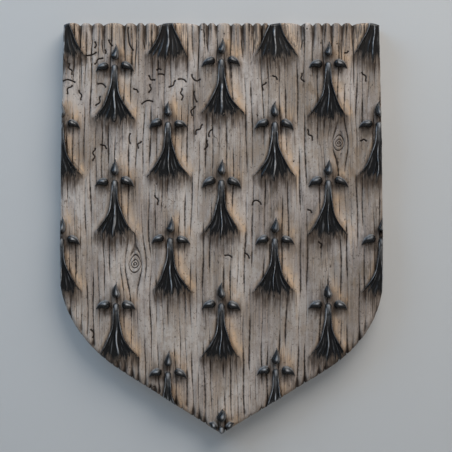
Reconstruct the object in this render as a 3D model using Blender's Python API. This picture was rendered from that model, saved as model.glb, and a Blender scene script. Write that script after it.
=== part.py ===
"""A heater shield wall plaque, cast in one piece, with raised ermine spots on carved wood grain.

Metres, +Z up. The flat back lies in the plane y = 0 with the origin at its centre, and the
carved face looks along -Y. The top edge is scalloped by gouge cuts, the sides swell a little
and turn over round shoulders into two straight slopes that meet in the point.
"""
import math

import bmesh
import bpy
from mathutils import Vector
from mathutils.geometry import delaunay_2d_cdt

# Overall sizes
WIDTH = 0.2002
HEIGHT = 0.2550
THICKNESS = 0.0135
EDGE_ROUND = 0.0022
BACK_BREAK = 0.0006

# Outline, as shares of the half width and of the height
TOP_TAPER = 0.023
SHOULDER_LEVEL = -0.122
SHOULDER_END = 0.62
SLOPE_ANGLE = {-1: math.radians(32.2), 1: math.radians(31.3)}
SHOULDER_FULLNESS = {-1: 0.60, 1: 0.66}
SIDE_STEPS = 34
SHOULDER_STEPS = 12
SLOPE_STEPS = 14
ROUND_TURNS = (0, 40, 90)

# Gouge cuts in the top edge, as shares of the half width, with none under a spot's tail
NOTCHES = (-0.875, -0.804, -0.733, -0.603, -0.528, -0.477, -0.399, -0.139, -0.087, -0.033,
           0.059, 0.127, 0.195, 0.251, 0.294, 0.494, 0.568, 0.624, 0.681, 0.747, 0.811)
NOTCH_DEPTH = 0.0015
CORNER_SHARE = 0.12
LOBE_STEPS = (-0.7, 0.0, 0.7)
GOUGE_LENGTH = 0.021
GOUGE_HALF_WIDTH = 0.0017
GOUGE_DEPTH = 0.0024

# Long grain cuts in the lanes between the columns of spots
GRAIN_ROWS = 5
GRAIN_LENGTH = 0.040
GRAIN_HALF_WIDTH = 0.0006
GRAIN_DEPTH = 0.0008
GRAIN_SPREAD = 0.0030
GRAIN_STAGGER = 0.010

# Ermine spots: rows down the height, columns across the width, size of one spot
ROW_LEVELS = (0.5475, 0.4015, 0.2560, 0.1150, -0.0255, -0.1840, -0.3470, -0.4830)
COLUMN_SHARE = 0.165
SPOT_LENGTH = 0.0477
SPOT_RELIEF = 0.0034
NUDGES = {(0, -3): (0.0015, 0.0), (0, 3): (-0.0045, 0.0), (1, -2): (0.0, -0.0018),
          (1, 0): (0.0, 0.0018), (2, 3): (-0.0018, 0.0), (4, -1): (0.0014, 0.0),
          (5, -2): (0.0009, 0.0), (6, -1): (0.0, -0.0009), (6, 1): (0.0006, 0.0009)}

# One spot, as shares of its length, measured from its knob
KNOB_RADIUS = 0.034
DROP_RADIUS = 0.054
TOP_DROP = ((0.0, 0.117), (0.006, 0.262))
SIDE_DROP = ((0.140, -0.014), (0.258, -0.100))
DROP_BEND = 0.020
TAIL_START = 0.012
TAIL_LENGTH = 0.690
TAIL_SAG = 0.095
STEM_HALF_WIDTH = 0.040
TAIL_FLARE = 0.190
FLARE_POWER = 2.6
TAIL_STATIONS = (0.0, 0.05, 0.24, 0.46, 0.66, 0.82, 0.93, 1.0)
TAIL_PLACES = (0.36, 0.74, 0.9, 1.0)
RIM_PLACE = 0.74
CHANNEL_PLACE = 0.36
END_FADE = 0.07
DOME_LOOPS = (1.0, 0.66)

# Smallest gap between a point of the carving and the rounded edge
EDGE_GAP = 0.0004

# Painted casting
FINISH_COLOUR = (0.29, 0.25, 0.22, 1.0)
FINISH_ROUGHNESS = 0.62


def clear_scene():
    """Removes whatever the scene holds."""
    for old in list(bpy.data.objects):
        bpy.data.objects.remove(old, do_unlink=True)


def bezier(points, t):
    """The place at t on a cubic curve through four control points."""
    a, b, c, d = points
    s = 1 - t
    return s * s * s * a + 3 * s * s * t * b + 3 * s * t * t * c + t * t * t * d


def side_outline(side):
    """One side of the outline, from the top corner down to just above the point."""
    half = WIDTH / 2
    top = HEIGHT / 2
    level = SHOULDER_LEVEL * HEIGHT
    points = []
    for step in range(SIDE_STEPS):
        rise = 1 - step / SIDE_STEPS
        points.append(Vector((side * half * (1 - TOP_TAPER * rise * rise), level + (top - level) * rise)))
    slope = Vector((side * math.cos(SLOPE_ANGLE[side]), math.sin(SLOPE_ANGLE[side])))
    tip = Vector((0.0, -top))
    start = Vector((side * half, level))
    end = tip + slope * (SHOULDER_END * half / math.cos(SLOPE_ANGLE[side]))
    corner = tip + slope * (half / math.cos(SLOPE_ANGLE[side]))
    full = SHOULDER_FULLNESS[side]
    curve = (start, start.lerp(corner, full), end.lerp(corner, full), end)
    points += [bezier(curve, step / SHOULDER_STEPS) for step in range(SHOULDER_STEPS + 1)]
    points += [end.lerp(tip, step / SLOPE_STEPS) for step in range(1, SLOPE_STEPS)]
    return points


def top_outline():
    """Points along the straight top edge from left to right, a few for each lobe."""
    stops = (TOP_TAPER - 1,) + NOTCHES + (1 - TOP_TAPER,)
    points = []
    for left, right in zip(stops, stops[1:]):
        middle, reach = (left + right) / 2, (right - left) / 2
        places = [middle + u * reach for u in LOBE_STEPS] + [right]
        points += [Vector((WIDTH / 2 * share, HEIGHT / 2)) for share in places]
    return points[:-1]


def outline():
    """The outline before the top edge is notched, anticlockwise from the top right corner."""
    tip = [Vector((0.0, -HEIGHT / 2))]
    return top_outline()[::-1] + side_outline(-1) + tip + side_outline(1)[::-1]


def on_top(point):
    """True for a point of the straight top edge."""
    return point.y > HEIGHT / 2 - EDGE_GAP


def notch_drop(point):
    """How far the gouge cuts lower a point of the outline: rounded lobes between notches."""
    if not on_top(point):
        return 0.0
    stops = (TOP_TAPER - 1,) + NOTCHES + (1 - TOP_TAPER,)
    share = point.x / (WIDTH / 2)
    for left, right in zip(stops, stops[1:]):
        if left <= share <= right:
            u = (2 * share - left - right) / (right - left)
            return NOTCH_DEPTH * u ** 4
    return 0.0


def inset(loop, distance):
    """The loop moved inward by a distance, with mitred corners."""
    moved = []
    for i, here in enumerate(loop):
        before = (here - loop[i - 1]).normalized()
        after = (loop[(i + 1) % len(loop)] - here).normalized()
        a = Vector((-before.y, before.x))
        b = Vector((-after.y, after.x))
        moved.append(here + (a + b) * (distance / (1 + a.dot(b))))
    return moved


def outline_ring(distance, depth):
    """The notched outline, moved inward by a distance, at a depth in front of the back."""
    loop = outline()
    corner = WIDTH / 2 * (1 - TOP_TAPER)
    ring = []
    for base, p in zip(loop, inset(loop, distance)):
        x = p.x
        if on_top(base) and abs(base.x) < corner - EDGE_GAP:
            nearness = max(abs(base.x) / corner - 1 + CORNER_SHARE, 0.0) / CORNER_SHARE
            x = base.x - math.copysign(distance * nearness, base.x)
        ring.append(Vector((x, -depth, p.y - notch_drop(base))))
    return ring


def painted_resin():
    """The finish: a grey-beige paint over cast resin."""
    material = bpy.data.materials.new("painted_resin")
    material.use_nodes = True
    shader = material.node_tree.nodes["Principled BSDF"]
    shader.inputs["Base Color"].default_value = FINISH_COLOUR
    shader.inputs["Roughness"].default_value = FINISH_ROUGHNESS
    shader.inputs["Metallic"].default_value = 0.0
    return material


def gouge_sizes(i):
    """Length and half width of one gouge cut, varied along the edge."""
    length = GOUGE_LENGTH * (0.75 + 0.25 * math.cos(2.4 * i))
    return length, GOUGE_HALF_WIDTH * (0.85 + 0.15 * math.sin(1.7 * i))


def gouge_depth(x, z):
    """Depth of the gouge cuts at a place on the face: deep at the top edge, fading down."""
    deepest = 0.0
    for i, share in enumerate(NOTCHES):
        length, width = gouge_sizes(i)
        fall = (HEIGHT / 2 - z) / length
        across = abs(x - share * WIDTH / 2)
        if fall < 1 and across < width:
            taper = 1 - 0.85 * max(fall, 0.0)
            bow = 1 - (across / (width * taper)) ** 2
            depth = GOUGE_DEPTH * taper ** 1.5 * math.sqrt(max(bow, 0.0))
            deepest = max(deepest, depth * min(1, 8 - 8 * fall))
    return deepest


def grain_cuts():
    """Top end and length of each long grain cut, staggered down the lanes between the spots."""
    cuts = []
    for lane in range(-3, 3):
        for row in range(GRAIN_ROWS):
            x = (lane + 0.5) * COLUMN_SHARE * WIDTH + GRAIN_SPREAD * math.sin(2.1 * lane + 1.3 * row)
            level = 0.36 - 0.76 * row / GRAIN_ROWS
            z = level * HEIGHT + GRAIN_STAGGER * math.sin(1.7 * lane + 2.9 * row)
            length = GRAIN_LENGTH * (0.8 + 0.2 * math.cos(1.1 * lane + 2.0 * row))
            if inside_reach(x, z - 0.7 * length):
                cuts.append((x, z + length / 2, length))
    return cuts


def grain_wander(top, share):
    """How far a grain cut strays sideways, at a share of its length."""
    return GRAIN_HALF_WIDTH * math.sin(6 * share + 300 * top)


def grain_depth(x, z):
    """Depth of the long grain cuts at a place: a V that runs out at both ends."""
    for line, top, length in GRAIN_CUTS:
        share = (top - z) / length
        if 0 < share < 1:
            girth = math.sin(math.pi * share) ** 0.5
            across = abs(x - line - grain_wander(top, share)) / (GRAIN_HALF_WIDTH * girth)
            if across < 1:
                return GRAIN_DEPTH * girth * (1 - across)
    return 0.0


def spot_places():
    """The row, column and knob of each spot, on a staggered pattern."""
    places = []
    for row, level in enumerate(ROW_LEVELS):
        for column in range(-3, 4):
            x = column * COLUMN_SHARE * WIDTH
            z = level * HEIGHT
            if (row + column) % 2 == 0 or not inside_reach(x, z):
                continue
            dx, dz = NUDGES.get((row, column), (0.0, 0.0))
            places.append((row, column, Vector((x + dx, z + dz))))
    return places


def inside_reach(x, z):
    """True above the two lower slopes, drawn out to the sides."""
    return z > -HEIGHT / 2 + math.tan(SLOPE_ANGLE[1]) * abs(x) - EDGE_ROUND


def spot_drops():
    """Head, tip and bend of the three drops of a spot, as shares of its length."""
    drops = [(Vector(TOP_DROP[0]), Vector(TOP_DROP[1]), 0.0)]
    for side in (-1, 1):
        head = Vector((side * SIDE_DROP[0][0], SIDE_DROP[0][1]))
        tip = Vector((side * SIDE_DROP[1][0], SIDE_DROP[1][1]))
        drops.append((head, tip, -side * DROP_BEND))
    return drops


def drop_girth(place):
    """Girth of a drop from its round end, below 0, to its point at 1."""
    if place < 0:
        return math.sqrt(max(1 - place * place, 0.0))
    return (1 - place) ** 0.8 * (1 + 0.25 * place)


def drop_point(drop, place, across):
    """The point of a drop at a place along it and a share of its girth across it."""
    head, tip, bend = drop
    run = tip - head
    along = run.normalized()
    side = Vector((-along.y, along.x))
    reach = run.length if place > 0 else DROP_RADIUS
    offset = DROP_RADIUS * drop_girth(place) * across + bend * max(place, 0.0) ** 2
    return head + along * (place * reach) + side * offset


def drop_rise(drop, p):
    """Height of a drop over a point, as a share of the full relief."""
    head, tip, bend = drop
    run = tip - head
    along = run.normalized()
    offset = p - head
    place = offset.dot(along)
    place = place / run.length if place > 0 else place / DROP_RADIUS
    if not -1 < place < 1:
        return 0.0
    girth = drop_girth(place)
    across = (offset.dot(Vector((-along.y, along.x))) - bend * max(place, 0.0) ** 2) / (DROP_RADIUS * girth)
    return 0.88 * girth ** 0.6 * math.sqrt(max(1 - across * across, 0.0))


def tail_half(run):
    """Half width of the tail at a share of its length."""
    return STEM_HALF_WIDTH + TAIL_FLARE * run ** FLARE_POWER


def tail_point(share, u):
    """The point of the tail at a share of its length and a share of its half width."""
    run = share * (TAIL_LENGTH + TAIL_SAG * (1 - u * u))
    return Vector((u * tail_half(min(run / TAIL_LENGTH, 1.0)), -TAIL_START - run))


def tail_rise(p):
    """Height of the tail over a point: two rims, the channels between them and a middle ridge."""
    run = -p.y - TAIL_START
    if run < 0:
        return 0.0
    u = abs(p.x) / tail_half(min(run / TAIL_LENGTH, 1.0))
    if u >= 1:
        return 0.0
    share = run / (TAIL_LENGTH + TAIL_SAG * (1 - u * u))
    if share >= 1:
        return 0.0
    rim = 0.84 - 0.5 * share ** 3
    ridge = (0.5 + 0.4 * math.sin(math.pi * share)) * (1 - 0.6 * share ** 4)
    stops = ((0.0, ridge), (CHANNEL_PLACE, 0.5 * rim), (RIM_PLACE, rim), (0.9, 0.72 * rim), (1.0, 0.0))
    for (near, low), (far, high) in zip(stops, stops[1:]):
        if u <= far:
            rise = low + (high - low) * (u - near) / (far - near)
            return rise * min(1, share / 0.04, (1 - share) / END_FADE)
    return 0.0


def spot_lean(row, column):
    """Sideways lean of one spot's tail, so that no two are quite alike."""
    return 0.03 * math.sin(2.3 * row + 1.9 * column)


def spot_rise(x, z):
    """Height of the spots over a place on the face."""
    best = 0.0
    for row, column, knob in SPOTS:
        p = (Vector((x, z)) - knob) / SPOT_LENGTH
        if abs(p.x) > 0.32 or not -0.85 < p.y < 0.3:
            continue
        leaned = Vector((p.x - spot_lean(row, column) * min(p.y, 0.0) ** 2, p.y))
        bead = 1 - (p.length / KNOB_RADIUS) ** 2
        best = max(best, tail_rise(leaned), 0.95 * math.sqrt(max(bead, 0.0)))
        best = max([best] + [drop_rise(drop, p) for drop in spot_drops()])
    return best * SPOT_RELIEF


def relief(x, z):
    """Height of the carving over the flat face, negative in a cut."""
    rise = spot_rise(x, z)
    return rise if rise > 0 else -max(gouge_depth(x, z), grain_depth(x, z))


def drop_chains(drop):
    """Closed loops round a drop, and the line along its crest."""
    stations = (-0.6, 0.0, 0.4, 0.75)
    chains = []
    for scale in DOME_LOOPS:
        ends = [drop_point(drop, -0.95 * scale, 0.0), drop_point(drop, 0.3 + 0.68 * scale, 0.0)]
        right = [drop_point(drop, station * scale, scale) for station in stations]
        left = [drop_point(drop, station * scale, -scale) for station in stations[::-1]]
        chains.append((ends[:1] + right + ends[1:] + left, True))
    chains.append(([drop_point(drop, place, 0.0) for place in (0.0, 0.45)], False))
    return chains


def spot_chains(row, column, knob):
    """Every line of one spot along which its surface bends."""
    chains = []
    for scale in DOME_LOOPS:
        ring = [Vector((math.cos(math.tau * k / 7), math.sin(math.tau * k / 7))) for k in range(7)]
        chains.append(([p * (KNOB_RADIUS * scale) for p in ring], True))
    chains.append(([Vector((0.0, 0.0))], False))
    for drop in spot_drops():
        chains += drop_chains(drop)
    sides = [-u for u in TAIL_PLACES[::-1]] + [0.0] + list(TAIL_PLACES)
    for share in TAIL_STATIONS[-2:]:
        chains.append(([tail_point(share, u) for u in sides], False))
    for u in sides:
        line = [tail_point(share, u) for share in TAIL_STATIONS]
        chains.append((line, False))
    lean = spot_lean(row, column)
    placed = []
    for points, closed in chains:
        moved = [Vector((p.x + lean * min(p.y, 0.0) ** 2, p.y)) for p in points]
        placed.append(([knob + p * SPOT_LENGTH for p in moved], closed))
    return placed


def gouge_chains():
    """The two edges and the bottom line of each gouge cut."""
    chains = []
    for i, share in enumerate(NOTCHES):
        length, width = gouge_sizes(i)
        line = share * WIDTH / 2
        for side in (-1, 0, 1):
            falls = (0.22, 0.5, 0.85)
            chains.append(([Vector((line + side * width * (1 - 0.85 * fall), HEIGHT / 2 - fall * length))
                            for fall in falls], False))
    return chains


def grain_chains():
    """The two edges and the bottom line of each grain cut."""
    chains = []
    for line, top, length in GRAIN_CUTS:
        middle = []
        for share in (0.02, 0.35, 0.7, 0.98):
            middle.append(Vector((line + grain_wander(top, share), top - share * length)))
        chains.append((middle, False))
        for side in (-1, 1):
            girth = Vector((side * GRAIN_HALF_WIDTH, 0.0))
            chains.append(([p + girth for p in middle[1:-1]], False))
    return chains


def edge_distance(p, loop):
    """Distance from a point to a closed loop, negative outside it."""
    nearest = 1.0
    inside = False
    for a, b in zip(loop, loop[1:] + loop[:1]):
        span = b - a
        share = min(max((p - a).dot(span) / span.length_squared, 0.0), 1.0)
        nearest = min(nearest, (a + span * share - p).length)
        if (a.y > p.y) != (b.y > p.y) and p.x < a.x + (p.y - a.y) * span.x / span.y:
            inside = not inside
    return nearest if inside else -nearest


def face_net(loop):
    """Triangles over the face, with edges along every line of the carving."""
    points = list(loop)
    edges = [(i, (i + 1) % len(loop)) for i in range(len(loop))]
    chains = gouge_chains() + grain_chains()
    for place in SPOTS:
        chains += spot_chains(*place)
    for chain, closed in chains:
        numbers = []
        for p in chain:
            if edge_distance(p, loop) > EDGE_GAP:
                numbers.append(len(points))
                points.append(p)
            else:
                numbers.append(None)
        links = list(zip(numbers, numbers[1:]))
        if closed:
            links.append((numbers[-1], numbers[0]))
        edges += [link for link in links if None not in link]
    made, _, faces, sources, _, _ = delaunay_2d_cdt(points, edges, [], 1, 1e-6)
    owners = {number: i for i, group in enumerate(sources) for number in group}
    rim = [owners[i] for i in range(len(loop))]
    return made, faces, rim


def plaque(material):
    """The whole casting: back, sides, rounded edge and carved face in one closed mesh."""
    bm = bmesh.new()
    rings = [outline_ring(BACK_BREAK, 0.0), outline_ring(0.0, BACK_BREAK)]
    for turn in ROUND_TURNS:
        angle = math.radians(turn)
        depth = THICKNESS - EDGE_ROUND + EDGE_ROUND * math.sin(angle)
        ring = outline_ring(EDGE_ROUND * (1 - math.cos(angle)), depth)
        rings.append([Vector((p.x, p.y - spot_rise(p.x, p.z), p.z)) for p in ring])
    loop = [Vector((p.x, p.z)) for p in rings[-1]]
    made, faces, rim = face_net(loop)
    face = [bm.verts.new((p.x, -THICKNESS - relief(p.x, p.y), p.y)) for p in made]
    walls = [[bm.verts.new(p) for p in ring] for ring in rings[:-1]]
    walls.append([face[i] for i in rim])
    for near, far in zip(walls, walls[1:]):
        for i in range(len(near)):
            bm.faces.new((near[i - 1], near[i], far[i], far[i - 1]))
    bm.faces.new(walls[0])
    for corners in faces:
        bm.faces.new([face[i] for i in corners])
    bmesh.ops.triangulate(bm, faces=bm.faces)
    bmesh.ops.recalc_face_normals(bm, faces=bm.faces)
    mesh = bpy.data.meshes.new("shield")
    bm.to_mesh(mesh)
    bm.free()
    mesh.materials.append(material)
    made = bpy.data.objects.new("shield", mesh)
    bpy.context.collection.objects.link(made)
    return made


SPOTS = spot_places()
GRAIN_CUTS = grain_cuts()


def main():
    """Builds the plaque."""
    clear_scene()
    plaque(painted_resin())


main()
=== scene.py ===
"""Looks of a heater shield wall plaque: a cast relief of weathered wood with ermine spots.

Metres, +Z up. The plaque's flat back lies in the plane y = 0 and its carved face looks along -Y.
The carving is one height field over the face, worked out from named sizes, and the same field
gives the masks that place each paint, the painted shade and the painted highlights.
"""

import logging
import math
from dataclasses import dataclass, field, replace
from enum import Enum

import bpy
import numpy as np
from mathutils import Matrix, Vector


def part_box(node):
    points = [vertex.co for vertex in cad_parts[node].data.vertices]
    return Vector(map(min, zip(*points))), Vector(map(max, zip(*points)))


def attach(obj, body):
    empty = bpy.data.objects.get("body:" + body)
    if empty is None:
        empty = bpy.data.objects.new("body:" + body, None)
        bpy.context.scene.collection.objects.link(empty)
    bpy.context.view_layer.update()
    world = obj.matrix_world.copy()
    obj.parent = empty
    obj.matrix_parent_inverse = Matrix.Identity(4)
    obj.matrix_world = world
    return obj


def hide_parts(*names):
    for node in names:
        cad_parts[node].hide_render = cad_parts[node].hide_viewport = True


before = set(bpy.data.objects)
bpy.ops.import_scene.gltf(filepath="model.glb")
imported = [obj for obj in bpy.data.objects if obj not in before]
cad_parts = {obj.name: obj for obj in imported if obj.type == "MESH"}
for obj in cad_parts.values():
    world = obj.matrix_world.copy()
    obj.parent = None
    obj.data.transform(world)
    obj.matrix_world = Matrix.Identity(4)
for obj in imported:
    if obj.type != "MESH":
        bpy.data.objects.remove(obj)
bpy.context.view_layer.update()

logging.basicConfig(level=logging.INFO, format="%(message)s")
LOG = logging.getLogger("plaque")

NODE = "shield"
MM = 0.001
RIGHT_ANGLE = math.radians(90.0)

Array = np.ndarray
Socket = bpy.types.NodeSocket
Pair = tuple[float, float]
Triple = tuple[float, float, float]
Colour = tuple[float, float, float, float]


class Paint(Enum):
    """The masks that the carving gives to the painter, one mesh attribute each."""

    INK = "ink"
    # Painted highlights: glints on the caps and drops, and the lit rims of the drops.
    SILVER_AND_GLINT = "silver_and_glint"
    OCHRE = "ochre"
    # Brown wash in the cuts and near the lower edge, with painted shade round the spots, along the tails'
    # edges, down the top lobes' sides and on the side walls.
    WASH_AND_SHADE = "wash_and_shade"
    CRACK = "crack"
    STREAK = "streak"
    # Broad dirt, with painted shadow on the left of each tail.
    SOIL_AND_SHADE = "soil_and_shade"
    FACE = "face"


class Trace(Enum):
    """Coordinates that let the painter draw lines finer than the mesh, one attribute each."""

    LANE = "lane"
    OPEN = "open"
    TRACK = "track"
    ACROSS = "across"
    ALONG = "along"
    GIRTH = "girth"


def unit(value: Array) -> Array:
    """Keeps values between 0 and 1."""
    return np.clip(value, 0.0, 1.0)


def smooth(low: float, high: float, value: Array) -> Array:
    """Eases from 0 at low to 1 at high."""
    t = unit((value - low) / (high - low))
    return t * t * (3.0 - 2.0 * t)


def fall(low: float, high: float, value: Array) -> Array:
    """Eases from 1 at low to 0 at high."""
    return 1.0 - smooth(low, high, value)


def bump(value: Array, centre: float, reach: float) -> Array:
    """A bell of height 1 round a centre."""
    return np.exp(-((value - centre) / reach) ** 2)


def mound(across: Array, up: Array) -> Array:
    """A round bell of height 1 over places given in its own reaches."""
    return np.exp(-across ** 2 - up ** 2)


def bowl(value: Array) -> Array:
    """A rounded hollow, 1 deep at 0 and gone at -1 and 1."""
    return unit(1.0 - value * value)


def dome(value: Array) -> Array:
    """A half circle, 1 high at 0 and gone at -1 and 1."""
    return np.sqrt(bowl(value))


@dataclass(frozen=True)
class Ripple:
    """A sine of one size and rate."""

    size: float
    rate: float

    def at(self, place: Array, turn: float = 0.0) -> Array:
        """The ripple at each place, from its own start."""
        return self.size * np.sin(self.rate * place + turn)


@dataclass(frozen=True)
class Waves:
    """Smooth hand-made unevenness, as a sum of long waves with seeded turns."""

    seed: int
    count: int
    across: Pair
    along: Pair

    def height(self, x: Array, z: Array) -> Array:
        """Unevenness between about -1 and 1 at each place.

        Args:
            x: Places across the face, in metres.
            z: Places up the face, in metres.

        Returns:
            The unevenness at each place.
        """
        random = np.random.default_rng(self.seed)
        total = np.zeros_like(x)
        for _ in range(self.count):
            kx = math.tau / random.uniform(*self.across) * random.choice((-1.0, 1.0))
            kz = math.tau / random.uniform(*self.along)
            total += np.sin(kx * x + kz * z + random.uniform(0.0, math.tau))
        return total / math.sqrt(self.count)


@dataclass
class Outline:
    """The heater outline: straight notched top, swelling sides, round shoulders, two slopes.

    Lengths are in metres. Levels are shares of the height, and the shoulder's and the notches'
    places are shares of half the width.
    """

    width: float
    height: float
    thickness: float
    edge_round: float = 2.2 * MM
    top_taper: float = 0.023
    shoulder_level: float = -0.122
    shoulder_end: float = 0.62
    slope_left: float = math.radians(32.2)
    slope_right: float = math.radians(31.3)
    full_left: float = 0.60
    full_right: float = 0.66
    notches: tuple[float, ...] = (-0.875, -0.804, -0.733, -0.603, -0.528, -0.477, -0.399, -0.139,
                                  -0.087, -0.033, 0.059, 0.127, 0.195, 0.251, 0.294, 0.494, 0.568,
                                  0.624, 0.681, 0.747, 0.811)
    notch_depth: float = 1.5 * MM
    notch_power: float = 2.6
    curve_steps: int = 60
    side_steps: int = 24

    def slope(self, side: int) -> float:
        """The angle of one lower slope."""
        return self.slope_left if side < 0 else self.slope_right

    def shoulder(self, side: int) -> Array:
        """Points of one side's shoulder and slope, from the tip up to the straight side.

        Args:
            side: -1 for the left side, 1 for the right.

        Returns:
            Rows of distance from the middle line and level, in metres.
        """
        half, top = self.width / 2, self.height / 2
        rise = math.tan(self.slope(side))
        full = self.full_left if side < 0 else self.full_right
        start = np.array((half, self.shoulder_level * self.height))
        corner = np.array((half, -top + rise * half))
        reach = self.shoulder_end * half
        end = np.array((reach, -top + rise * reach))
        t = np.linspace(1.0, 0.0, self.curve_steps)[:, None]
        near = start + (corner - start) * full
        far = end + (corner - end) * full
        curve = (1 - t) ** 3 * start + 3 * (1 - t) ** 2 * t * near + 3 * (1 - t) * t * t * far + t ** 3 * end
        return np.vstack(((0.0, -top), curve))

    def side_half(self, z: Array) -> Array:
        """Half the width above the shoulders.

        Args:
            z: Levels, in metres.

        Returns:
            Half the width at each level.
        """
        level = self.shoulder_level * self.height
        rise = unit((z - level) / (self.height / 2 - level))
        return self.width / 2 * (1.0 - self.top_taper * rise * rise)

    def bottom(self, x: Array) -> Array:
        """The lower outline.

        Args:
            x: Places across, in metres.

        Returns:
            Level of the outline under each place.
        """
        low = np.empty_like(x)
        for side in (-1, 1):
            here = x * side >= 0
            points = self.shoulder(side)
            low[here] = np.interp(np.abs(x[here]), points[:, 0], points[:, 1])
        return low

    def notch_drop(self, x: Array) -> Array:
        """The scalloped top edge: rounded lobes between the notches.

        Args:
            x: Places across, in metres.

        Returns:
            How far the top edge is cut down at each place.
        """
        corner = 1.0 - self.top_taper
        stops = np.array((-corner,) + self.notches + (corner,)) * self.width / 2
        lobe = np.clip(np.searchsorted(stops, x) - 1, 0, len(stops) - 2)
        left, right = stops[lobe], stops[lobe + 1]
        u = np.clip((2 * x - left - right) / (right - left), -1.0, 1.0)
        return self.notch_depth * np.abs(u) ** self.notch_power

    def polyline(self) -> Array:
        """The whole outline before it is notched.

        Returns:
            Its corners in order, as rows of x and z. The last joins on to the first.
        """
        levels = np.linspace(self.shoulder_level * self.height, self.height / 2, self.side_steps)
        half = self.side_half(levels)
        right, left = (np.vstack((self.shoulder(side), np.column_stack((half, levels))[1:]))
                       for side in (1, -1))
        left[:, 0] *= -1
        return np.vstack((right, left[::-1]))

    def distance(self, x: Array, z: Array) -> Array:
        """How far places inside lie from the outline.

        Args:
            x: Places across, in metres.
            z: Places up, in metres.

        Returns:
            Distance to the nearest stretch of the outline.
        """
        line = self.polyline()
        nearest = np.full(x.shape, 1.0)
        for a, b in zip(line, np.roll(line, -1, axis=0)):
            span = b - a
            length = float(span @ span)
            if length < 1e-14:
                continue
            share = unit(((x - a[0]) * span[0] + (z - a[1]) * span[1]) / length)
            nearest = np.minimum(nearest, np.hypot(a[0] + span[0] * share - x, a[1] + span[1] * share - z))
        return nearest


@dataclass
class Field:
    """Places on the face, with the height and the paint masks that build up over them."""

    x: Array
    z: Array
    height: Array = field(init=False)
    spot: Array = field(init=False)
    axis: Array = field(init=False)
    masks: dict[Paint, Array] = field(init=False)
    traces: dict[Trace, Array] = field(init=False)

    def __post_init__(self) -> None:
        """Starts with a flat, unpainted face, far from any crack or spot."""
        self.height = np.zeros_like(self.x)
        self.spot = np.zeros_like(self.x)
        self.axis = np.ones_like(self.x)
        self.masks = {paint: np.zeros_like(self.x) for paint in Paint}
        away = {Trace.LANE: 0.5, Trace.OPEN: 0.0, Trace.TRACK: 4.0,
                Trace.ACROSS: 9.0, Trace.ALONG: 2.0, Trace.GIRTH: 0.1}
        self.traces = {trace: np.full_like(self.x, value) for trace, value in away.items()}

    def near(self, x: float, z: float, reach_x: float, reach_z: float) -> Array:
        """Numbers of the places within a box round a point."""
        return np.nonzero((np.abs(self.x - x) < reach_x) & (np.abs(self.z - z) < reach_z))[0]

    def paint(self, paint: Paint, amount: Array, places: Array | slice = slice(None)) -> None:
        """Lays a paint on some places or on all of them, keeping the stronger coat."""
        self.masks[paint][places] = np.maximum(self.masks[paint][places], amount)


@dataclass(frozen=True)
class Drop:
    """One curled teardrop beside a spot's cap. Lengths are shares of the spot's length."""

    head: Pair
    tip: Pair
    sag: float
    slim: float
    lit: float
    plump: float = 1.0
    radius: float = 0.058
    swell: float = 0.8
    least_girth: float = 0.02
    rise: float = 0.92
    round_power: float = 0.6
    fold: float = 0.22
    fold_place: float = 0.35
    fold_swing: float = 0.55
    fold_half: float = 0.20
    fold_start: Pair = (-0.5, 0.2)

    def shape(self, p: Array, q: Array) -> tuple[Array, Array, Array]:
        """Raises the drop.

        Args:
            p: Places across, from the cap.
            q: Places up, from the cap.

        Returns:
            Height as a share of the relief, place along the drop, and place across it.
        """
        run = math.hypot(self.tip[0] - self.head[0], self.tip[1] - self.head[1])
        ax, az = (self.tip[0] - self.head[0]) / run, (self.tip[1] - self.head[1]) / run
        ox, oz = p - self.head[0], q - self.head[1]
        radius = self.radius * self.plump
        place = ox * ax + oz * az
        place = np.where(place > 0, place / run, place / radius)
        ahead = unit(place)
        girth = np.where(place > 0, (1.0 - ahead) ** self.slim * (1.0 + self.swell * ahead), dome(place))
        side = oz * ax - ox * az + self.sag * np.sin(math.pi * ahead)
        across = side / (radius * np.maximum(girth, self.least_girth))
        groove = bump(across, self.fold_place - self.fold_swing * ahead, self.fold_half)
        fold = 1.0 - self.fold * groove * smooth(*self.fold_start, place)
        height = self.rise * girth ** self.round_power * dome(across) * fold
        return np.where(np.abs(place) < 1.0, height, 0.0), place, across


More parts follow.
